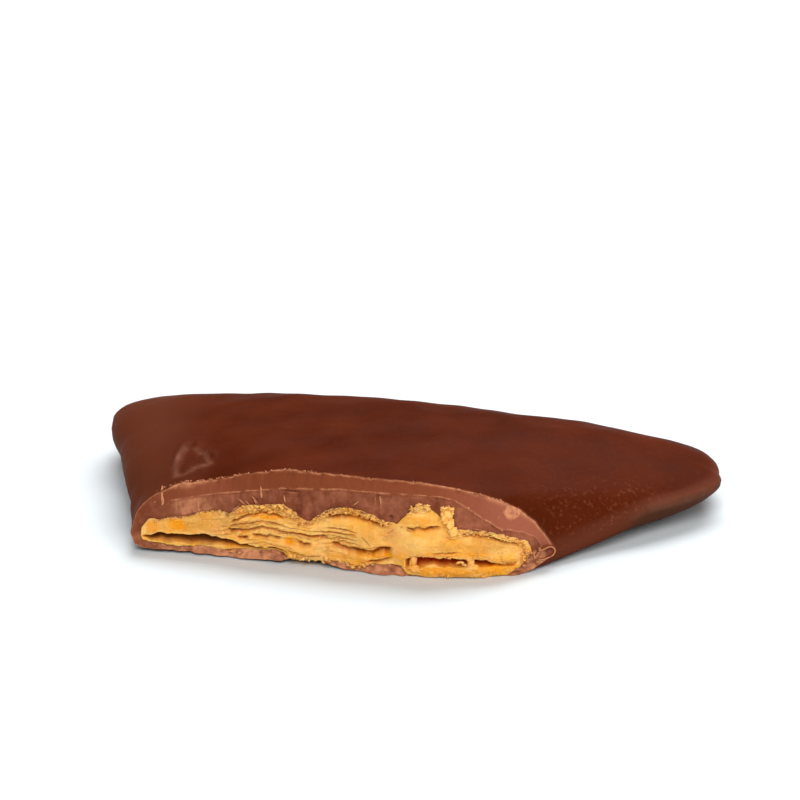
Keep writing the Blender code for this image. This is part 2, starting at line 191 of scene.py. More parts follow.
# Chocolate: an outer skin, a broken front and a hollow for the filling, as one closed shell
coating = {
    "faceLeft": (-29.3, 8.6), "faceRight": (14.0, 4.6), "rightTip": (34.0, 19.5),
    "backRight": (33.1, 35.0), "backLeft": (-36.0, 49.0),
    "faceBulge": 5.6, "tipShare": 0.58, "tipRounding": 0.11, "backStart": 0.74, "backNarrowing": 0.14,
    "crown": 9.5, "wingFall": 0.50, "tipLift": 0.50, "leftFall": 0.12, "rimLeft": 4.4, "rimRight": 3.3,
    "frontReach": 0.32, "facetLean": 2.6, "ridgeOut": 0.8, "mouthOut": 0.35,
    # the hollow: reach, left and right wall (each in front and behind), roof, roof near its front, and floor
    "hollowReach": 0.94, "sideWalls": ((1.0, 1.8), (2.6, 4.2)), "hollowThick": (2.8, 1.1, 1.1),
    "skinWave": 0.16, "skinDent": 0.10, "nickDepth": 0.16, "skinPit": 0.05, "backWave": 0.6,
    "mouthRagged": 0.09,
    # bites out of the lower lip: middle, half width and depth
    "bites": ((-12.2, 1.8, 1.2), (-10.2, 2.4, 0.9), (2.3, 4.6, 1.5), (7.6, 1.8, 1.0)),
    # how far the left and the right side run in from their straight lines: depth, left and right
    "sideWave": (
        (8.6, 0.0, 0.0), (11.0, 0.3, 0.25), (16.0, 0.55, 0.1), (18.6, 0.35, 0.3), (24.6, 0.4, 0.5),
        (29.8, 0.6, 0.3), (34.3, 0.15, 0.0), (41.4, 0.45, 0.0), (49.0, 0.9, 0.0),
    ),
    "columns": 370, "skinRows": 58, "facetRows": 22, "wallRows": 30, "hollowRows": 10,
    # raised creases in the skin, as plan points, width, height, and width and strength of their light line,
    # which is painted highlight
    "creases": (
        (((-24.3, 18.4), (-24.8, 17.0), (-25.1, 14.5), (-24.8, 12.4)), 0.42, 0.46, 0.34, 1.0),
        (((-24.9, 12.4), (-24.0, 11.9), (-22.9, 13.1), (-21.8, 13.5), (-21.4, 13.9)), 0.45, 0.50, 0.34, 1.0),
        (((-23.2, 18.2), (-22.2, 15.9), (-21.4, 13.9)), 0.40, 0.32, 0.34, 0.8),
    ),
    # a pinched edge along the right wing: from, to, rise, how far it stands out, and how narrow it is
    "pinch": (0.22, 0.70, 0.45, 0.26, 0.012),
    # a rubbed, pitted band along the right wing
    "scuff": ((15.1, 5.6), (16.7, 7.1), (18.8, 8.9), (19.9, 9.8), (23.1, 11.9)),
    # a pale scuff on the slanted facet: across, up, half width, half height
    "paleScuff": (9.5, 6.2, 1.15, 0.90),
    # flat breaks of the upright wall that meet in upright creases: across, and how far they stand out
    "plates": (
        (-28.5, 0.05), (-24.35, -0.02), (-24.2, 0.20), (-22.85, 0.10), (-22.7, -0.06), (-18.65, 0.12),
        (-18.45, -0.10), (-13.55, 0.06), (-13.3, -0.26), (-11.75, -0.36), (-11.5, 0.10), (-9.7, -0.04),
        (-9.5, 0.08), (-6.8, -0.10), (-6.6, 0.0), (-4.35, 0.06), (-4.1, -0.10), (-1.85, 0.02), (-1.6, 0.14),
        (2.0, -0.04), (4.0, 0.10), (7.0, -0.12), (10.0, 0.05), (13.0, 0.0),
    ),
    # how light each flat break is: partly its own tone, partly painted light and shade, darkest on the breaks
    # that lie set back
    "tones": (
        (-28.5, 0.2), (-24.3, 0.25), (-24.2, 0.95), (-22.4, 0.75), (-22.2, 0.35), (-18.6, 0.55),
        (-18.4, 0.30), (-13.5, 0.45), (-13.3, 0.05), (-11.7, 0.10), (-11.5, 0.50), (-6.7, 0.40),
        (-6.5, 0.60), (-1.8, 0.45), (-1.6, 0.65), (2.0, 0.40), (6.0, 0.75), (9.0, 0.55), (13.0, 0.45),
    ),
    # marks on the break: across, up, half width, half height and how far they stand out
    "marks": (
        (-2.6, 6.05, 0.16, 0.18, -0.7), (-4.8, 6.2, 0.14, 0.16, -0.5), (-6.6, 7.95, 0.10, 0.45, -0.35),
        (-3.9, 7.8, 0.16, 0.75, -0.25), (-4.15, 7.8, 0.07, 0.7, 0.12), (-3.6, 7.6, 0.07, 0.7, 0.12),
        (-12.6, 7.68, 0.55, 0.12, -0.35), (-12.6, 7.5, 0.6, 0.07, 0.15), (-22.9, 5.2, 0.10, 0.5, -0.2),
        (-22.2, 5.1, 0.10, 0.45, 0.14), (-24.6, 5.1, 0.08, 0.5, 0.10),
    ),
}


def bent(v):
    # How far the right edge has turned its corner: a ramp with a rounded start, up to 1 less the tip's share
    corner, rounding = coating["tipShare"], coating["tipRounding"]
    here, start, end = ((t - corner + np.sqrt((t - corner) ** 2 + rounding**2)) / 2 for t in (v, 0.0, 1.0))
    return (here - start) / (end - start) * (1.0 - corner)


def planPoint(a, v):
    # Straight across from the left edge line to the bent right edge, bulging forwards at the break
    depth = v[..., None]
    turned = bent(v)[..., None]
    faceLeft, faceRight, rightTip, backRight, backLeft = (
        np.array(coating[k]) for k in ("faceLeft", "faceRight", "rightTip", "backRight", "backLeft")
    )
    left = (1.0 - depth) * faceLeft + depth * backLeft
    right = faceRight + (rightTip - faceRight) * (depth - turned) / coating["tipShare"]
    right = right + (backRight - rightTip) * turned / (1.0 - coating["tipShare"])
    nearBack = unit((v - coating["backStart"]) / (1.0 - coating["backStart"]))
    narrowing = 1.0 - coating["backNarrowing"] * (1.0 - np.sqrt(1.0 - nearBack**2))
    share = ((a * narrowing + 1.0) / 2.0)[..., None]
    point = (1.0 - share) * left + share * right
    across = unit((a + 1.0) / 2.0)
    point[..., 1] -= (1.0 - v) ** 2.5 * coating["faceBulge"] * np.sin(np.pi * across**2.2) ** 0.75
    return point


def endRounding(a, power):
    # The square root of 1 less the distance from the middle to a power: 1 inside, 0 at both ends
    return np.sqrt(unit(1.0 - np.abs(a) ** power))


def backRounding(v, start):
    # A quarter circle from 1 at the start to 0 at the back edge
    return np.sqrt(unit(1.0 - unit((v - start) / (1.0 - start)) ** 2))


def spread(columns):
    # Even steps from -1 to 1, half as long at the ends
    t = np.linspace(-1.0, 1.0, columns + 1)
    return t * (1.25 - 0.25 * t * t)


def slowWave(x, y, seed):
    # Three sines of different lengths and headings, added up
    first = np.sin(0.61 * x + 0.23 * y + 1.7 * seed)
    second = np.sin(-0.37 * x + 0.71 * y + 2.9 * seed)
    third = np.sin(1.33 * x - 0.52 * y + 0.6 * seed)
    return 0.45 * first + 0.35 * second + 0.2 * third


def lineDistance(x, y, points):
    # The shortest distance from each place to a line through the points
    best = np.full(np.shape(x), 1e9)
    for (x0, y0), (x1, y1) in zip(points, points[1:]):
        long = (x1 - x0) ** 2 + (y1 - y0) ** 2
        t = unit(((x - x0) * (x1 - x0) + (y - y0) * (y1 - y0)) / long)
        best = np.minimum(best, np.hypot(x - x0 - t * (x1 - x0), y - y0 - t * (y1 - y0)))
    return best


def pinchShare(a, v):
    # 1 beside the pinched edge of the right wing, fading at both its ends and towards the middle
    start, end = coating["pinch"][:2]
    return smoothStep((v - start) / 0.1) * smoothStep((end - v) / 0.1) * smoothStep((a - 0.4) / 0.5)


def outerHeight(a, v, upper):
    # The break's outline in front, blended into a low dome or a rounded hull behind it
    softness = 1.6 * smoothStep(v / 0.1) * endRounding(a, 8.0) + 0.12 * endRounding(a, 8.0)
    x = planPoint(a, np.zeros_like(v))[..., 0]
    behind = smoothStep(v / coating["frontReach"])
    rim = coating["rimLeft"] + (coating["rimRight"] - coating["rimLeft"]) * (a + 1.0) / 2.0
    rim = rim + coating["pinch"][2] * pinchShare(a, v)
    if upper:
        fallLeft = coating["leftFall"] * unit((-0.05 - a) / 0.95) ** 2
        fallRight = coating["wingFall"] * unit((a + 0.05) / 1.05) ** 1.6
        crown = coating["crown"] * (1.0 - fallLeft - fallRight)
        dome = rim + (crown - rim) * endRounding(a, 5.0) * backRounding(v, 0.62)
        lift = coating["tipLift"] * smoothStep((a - 0.2) / 0.5)
        dome = dome + lift * endRounding(a, 9.0) * backRounding(v, 0.7)
        return along("topEdge", x, softness) * (1.0 - behind) + dome * behind
    hull = rim * (1.0 - endRounding(a, 7.0) * backRounding(v, 0.75))
    return along("underside", x, softness) * (1.0 - behind) + hull * behind


def outerSkin(a, v, upper):
    # Plan point and height, with slow waves, dents, creases and small nicks along the broken edge
    point = planPoint(a, v)
    height = outerHeight(a, v, upper)
    x, y = point[..., 0], point[..., 1]
    inside = endRounding(a, 5.0)
    waveY, leftIn, rightIn = np.array(coating["sideWave"]).T
    wave = np.where(a < 0, np.interp(y, waveY, leftIn), -np.interp(y, waveY, rightIn))
    wave = wave + 0.06 * roughNoise(y * 0.5, np.sign(a) * 3.0, 0.0, 15, 2)
    point[..., 0] += wave * np.abs(a) ** 6 * smoothStep(v / 0.05)
    point[..., 1] += coating["backWave"] * slowWave(0.3 * x, 0.0, 2) * v**6
    pinched = coating["pinch"][3] * pinchShare(a, v) * bell(1.0 - a, coating["pinch"][4])
    point[..., 0] += 0.7 * pinched
    point[..., 1] -= 0.7 * pinched
    if upper:
        fade = inside * backRounding(v, 0.5) * smoothStep(v / 0.12)
        height = height + coating["skinWave"] * slowWave(x, y, 1) * fade
        height = height + coating["skinDent"] * roughNoise(x * 0.16, y * 0.16, 0.0, 11, 3) * fade
        scuffed = bell(lineDistance(x, y, coating["scuff"]), 2.2) * unit(2.0 * inside - 0.3)
        height = height - coating["skinPit"] * scuffed * unit(roughNoise(x * 1.1, y * 1.1, 0.0, 17, 2))
        uneven = 0.8 + 0.5 * noise(x * 0.5, y * 0.5, 0.0, 19)
        for points, wide, tall, _, _ in coating["creases"]:
            shape = bell(lineDistance(x, y, points), wide)
            height = height + tall * shape * unit(inside * 3.0) * uneven
        nick = unit(roughNoise(x * 1.3, 0.0, 0.0, 21, 3)) * np.exp(-v / 0.008) * inside
        height = height - coating["nickDepth"] * nick
        point[..., 1] += coating["facetLean"] * inside * (1.0 - v) ** 2 + 0.5 * coating["nickDepth"] * nick
    else:
        height = np.maximum(height, 0.0)
        point[..., 1] += lipChip(x) * endRounding(a, 6.0) * (1.0 - v) ** 10
    return np.concatenate([point, height[..., None]], axis=-1)


def lipChip(x):
    # Cosine-squared bites at the places that the settings name, and a ragged edge between them
    depth = 0.20 + 0.20 * roughNoise(x * 0.9, 0.0, 0.0, 31, 4, 0.6)
    for middle, half, deep in coating["bites"]:
        depth = depth + deep * np.cos(np.clip((x - middle) / half, -1.0, 1.0) * np.pi / 2) ** 2
    return depth


def faceLine(x):
    # Depth of the broken face at x
    a = np.linspace(-1.0, 1.0, 400)
    line = planPoint(a, np.zeros_like(a))
    return np.interp(x, line[:, 0], line[:, 1])


def hollowPoint(a, reach, upper, inset):
    # Roof and lip at the break, blended into a space under the dome, closed round its ends and its back
    v = reach * coating["hollowReach"] - 0.12 * inset * reach**6
    behind = smoothStep(v / 0.14)
    width = planPoint(np.ones_like(v), v)[..., 0] - planPoint(-np.ones_like(v), v)[..., 0]
    leftWall, rightWall = (near * (1.0 - behind) + far * behind for near, far in coating["sideWalls"])
    low = -1.0 + 2.0 * leftWall / width
    high = 1.0 - 2.0 * rightWall / width
    inner = low + (high - low) * (a + 1.0) / 2.0
    inner = inner - np.sign(a) * np.abs(a) ** 6 * inset * (1.0 + 5.0 * reach**4) * 2.0 / width
    point = planPoint(inner, v)
    x = point[..., 0]
    roofThick, roofThickInFront, floorThick = coating["hollowThick"]
    roofBehind = outerHeight(inner, v, True) - roofThick
    roofBehind = np.minimum(roofBehind, outerHeight(inner, unit(v - 0.09), True) - roofThickInFront)
    bellyBehind = outerHeight(inner, v, False) + floorThick
    ragged = coating["mouthRagged"] * endRounding(a, 8.0)
    roofFront = along("roof", x) + ragged * roughNoise(x * 1.6, 0.0, 0.0, 33, 3, 0.65)
    lipFront = along("lip", x) + 0.6 * ragged * roughNoise(x * 1.6, 0.0, 0.0, 37, 3, 0.65)
    roof = roofFront * (1.0 - behind) + np.maximum(roofBehind, bellyBehind + 1.1) * behind
    belly = lipFront * (1.0 - behind) + bellyBehind * behind
    rounded = np.where(np.abs(a) > 0.9999, 0.0, endRounding(a, 8.0) * behind + (1.0 - behind))
    rounded = rounded * backRounding(reach, 0.7)
    half = np.maximum(0.5 * (roof - belly) - inset, 0.05)
    height = 0.5 * (roof + belly) + (1.0 if upper else -1.0) * half * rounded
    point[..., 1] += coating["mouthOut"] * (1.0 - v) ** 8
    if not upper:
        point[..., 1] += lipChip(x) * endRounding(a, 6.0) * (1.0 - v) ** 10
    return np.concatenate([point, height[..., None]], axis=-1)


def loopRows(maker, a, depths):
    # One closed loop for each depth: upper side left to right, lower side back again
    v, across = np.meshgrid(depths, a, indexing="ij")
    return np.concatenate([maker(across, v, True), maker(across, v, False)[:, ::-1]], axis=1)


def marksAt(x, z):
    # Each mark is a bell over the face
    total = np.zeros(np.shape(x))
    for middleX, middleZ, wide, tall, out in coating["marks"]:
        total = total + out * blob(x, z, middleX, middleZ, wide, tall)
    return total


def buildCoating(material):
    # Closed loops in a row: outer skin from the back, slanted facet, upright wall, and the hollow behind it
    a = spread(coating["columns"])
    count = len(a)
    t = np.linspace(0.0, 1.0, coating["skinRows"])
    depths = 0.35 * t + 0.65 * (1.0 - np.cos(np.pi * t)) / 2.0
    skin = loopRows(outerSkin, a, depths)
    reach = 1.0 - (1.0 - np.linspace(0.0, 1.0, coating["hollowRows"])) ** 1.1
    hollow = loopRows(lambda across, v, upper: hollowPoint(across, v, upper, 0.0), a, reach)
    edge, mouth = skin[0], hollow[0].copy()
    upper = np.arange(2 * count) < count
    across = np.concatenate([a, a[::-1]])
    rounded = endRounding(across, 8.0)

    # Ridge between the slanted facet and the upright wall
    ridge = 0.5 * (edge + mouth)
    line = faceLine(ridge[:, 0])
    wanted = along("ridge", ridge[:, 0], 0.15) + 0.05 * roughNoise(ridge[:, 0] * 1.1, 0.0, 0.0, 41, 3)
    wanted = np.clip(wanted, mouth[:, 2] + 0.12, np.maximum(edge[:, 2] - 0.2, mouth[:, 2] + 0.12))
    ridge[:, 2] = np.where(upper, ridge[:, 2] + (wanted - ridge[:, 2]) * rounded, ridge[:, 2])
    out = line + coating["ridgeOut"]
    ridge[:, 1] = np.where(upper, ridge[:, 1] + (out - ridge[:, 1]) * rounded, ridge[:, 1])

    # The broken rows, with their share of the way: 0 at the outer edge, 1 at the ridge, 2 at the mouth
    s = np.linspace(0.0, 1.0, coating["facetRows"])[1:, None, None]
    w = np.linspace(0.0, 1.0, coating["wallRows"])[1:, None, None]
    share = np.concatenate([s[:, 0, 0], 1.0 + w[:, 0, 0]])[:, None]
    broken = np.concatenate([edge * (1.0 - s) + ridge * s, ridge * (1.0 - w) + mouth * w], axis=0)
    x, z = broken[..., 0], broken[..., 2]
    isUpper = upper[None, :]
    onWall = smoothStep((share - 1.0) / 0.15)
    ends = rounded[None, :] * smoothStep((2.0 - share) / 0.12) * smoothStep(share / 0.06)
    steady = smoothStep((x + 3.0) / 3.0)

    # How far the broken chocolate stands out: flat breaks that meet in creases, grain, burrs and marks
    leaning = x + 0.10 * (z - 6.0) + 0.16 * roughNoise(x * 0.4, z * 1.3, 0.0, 51, 2)
    plateX, plateOut = np.array(coating["plates"]).T
    wallRelief = np.interp(leaning, plateX, plateOut) + 0.08 * roughNoise(x * 1.1, z * 0.8, 0.0, 52, 4, 0.6)
    wallRelief = wallRelief + 0.045 * roughNoise(x * 4.5, z * 2.2, 0.0, 55, 2) + marksAt(x, z)
    facetRelief = 0.05 * noise(x * 0.35, share * 0.8, 0.0, 61)
    facetRelief = facetRelief + 0.012 * noise(x * 5.0, share * 3.0, 0.0, 62)
    scuff = blob(x, z, *coating["paleScuff"]) + 0.25 * roughNoise(x * 2.2, z * 2.2, 0.0, 63, 3)
    scuff = smoothStep((scuff - 0.5) / 0.12)
    facetRelief = facetRelief + scuff * (0.10 + 0.05 * roughNoise(x * 4.0, z * 4.0, 0.0, 66, 2))
    burr = 0.05 * bell(share - 1.0, 0.05) * unit(0.4 + noise(x * 2.3, 0.0, 0.0, 64))
    rimBurr = 0.08 * bell(share, 0.07) * unit(0.1 + noise(x * 3.1, 0.0, 0.0, 65))
    rimBurr = rimBurr + 0.10 * bell(share, 0.10) * steady
    relief = facetRelief * (1.0 - onWall) + wallRelief * onWall + burr + rimBurr
    lipRelief = 0.10 * roughNoise(x * 1.6, z * 1.5, 0.0, 71, 3, 0.6)
    relief = np.where(isUpper, relief, lipRelief) * ends
    tilt = np.where(isUpper, 1.0 - onWall, 0.0)
    broken[..., 1] -= relief * (1.0 - 0.5 * tilt)
    broken[..., 2] += relief * 0.8 * tilt

    skinBack = skin[::-1]
    rows = np.concatenate([skinBack, broken[:-1], hollow], axis=0)
    rowX = rows[..., 0]
    first = len(skin)

    def onBreak(values):
        # The broken rows' values, between zeros for the skin and the hollow
        full = np.zeros(rows.shape[:2])
        full[first : first + len(broken) - 1] = values[:-1]
        return full

    def onSkin(values, rest=0.0):
        # The skin's values, and one value for every row after them
        full = np.full(rows.shape[:2], rest)
        full[:first] = values
        return full

    # Pale, crumbly places of the break: two edges, a strip, a standing plate made paler with painted light,
    # the lip, the scuff and the marks
    band = 0.08 + 0.22 * bell(x + 23.6, 1.5) + 0.05 * smoothStep((x + 2.0) / 3.0)
    paleBreak = bell(share, band) + 0.75 * bell(share - 1.0, 0.035)
    worn = 0.65 + 0.3 * steady + 0.9 * roughNoise(x * 1.7, share * 2.0, 0.0, 81, 2)
    paleBreak = paleBreak * unit(worn)
    strip = 1.2 * bell(share, 0.17) * bell(x + 23.2, 1.8)
    lightPlate = 0.42 * onWall * smoothStep(blob(x, z, -22.9, 5.1, 2.0, 1.1) / 0.6)
    paleBreak = np.maximum(paleBreak, strip) + lightPlate
    paleLip = 0.75 + 0.5 * bell(x + 18.0, 2.2) + 0.4 * roughNoise(x * 1.2, z * 2.0, 0.0, 82, 3)
    paleBreak = np.where(isUpper, np.maximum(paleBreak, 0.85 * scuff), paleLip)
    paleBreak = paleBreak + np.clip(marksAt(x, z) * 4.0, 0.0, 0.8) * isUpper
    leftEnd = smoothStep((-25.9 - rowX) / 1.0)
    outerRim = onBreak(bell(share, 0.09))
    pale = onBreak(paleBreak) * (1.0 - 0.8 * leftEnd) + 0.55 * outerRim * leftEnd

    # How light the break is from place to place: the facet share takes the darker facet colour, painted shade
    # as if a piece above shaded it, and light turns it to the lighter facet colour, painted light, towards
    # the right end and near x = -22
    facetShare = onBreak(np.where(isUpper, 1.0 - onWall, 0.3)) * (1.0 - 0.6 * leftEnd)
    light = 0.9 * smoothStep((rowX - 1.0) / 9.0) + 0.25 * bell(rowX + 22.0, 3.0)
    # The flat breaks' tones hold painted shade on the set-back breaks and painted light on the standing ones,
    # with random tone over them
    toneX, toneLight = np.array(coating["tones"]).T
    tone = onBreak(np.interp(leaning, toneX, toneLight)) * (1.0 - leftEnd)
    tone = tone + 0.25 * roughNoise(rowX * 0.7, rows[..., 2] * 0.9, 0.0, 85, 3)

    # The rubbed band, painted highlights along the creases and the pinched edge, painted shade on the side
    # below the pinched edge, and painted light on the outer sides
    skinX, skinY = skinBack[..., 0], skinBack[..., 1]
    rubbed = bell(lineDistance(skinX, skinY, coating["scuff"]), 3.0) * upper
    # Painted highlights along the creases and along the pinched edge
    fold = np.zeros(skinX.shape)
    for points, _, _, wide, bright in coating["creases"]:
        fold = np.maximum(fold, bright * bell(lineDistance(skinX, skinY, points), wide) * upper)
    deepIn, acrossIn = np.meshgrid(depths[::-1], across, indexing="ij")
    # The pinched share also marks painted shade on the lower side below the pinched edge
    pinched = pinchShare(acrossIn, deepIn)
    fold = np.maximum(fold, 0.5 * pinched * bell(1.0 - acrossIn, 0.006))
    # Painted light on the steep sides, the underside and the back edge: they take a lighter skin colour than
    # the top
    nearEdge = np.where(upper, smoothStep((np.abs(across) - 0.955) / 0.04), 1.0)
    side = np.maximum(nearEdge, smoothStep((deepIn - 0.93) / 0.06))
    fresh = np.zeros(rows.shape[:2])
    fresh[first - 1 :] = 1.0
    attributes = tints(
        chocolateTints, rowX, fresh=fresh, pale=unit(pale), facet=facetShare, light=light, tone=unit(tone),
        rub=onSkin(rubbed), fold=onSkin(fold), under=onSkin(pinched * ~upper), side=onSkin(side, 1.0),
        # Painted sheen and light on the left part of the skin
        leftSide=smoothStep((-20.0 - rowX) / 9.0),
    )
    piece = makePiece("coatingShell", [rows], material, attributes)
    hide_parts("chocolate_coating")
    return piece


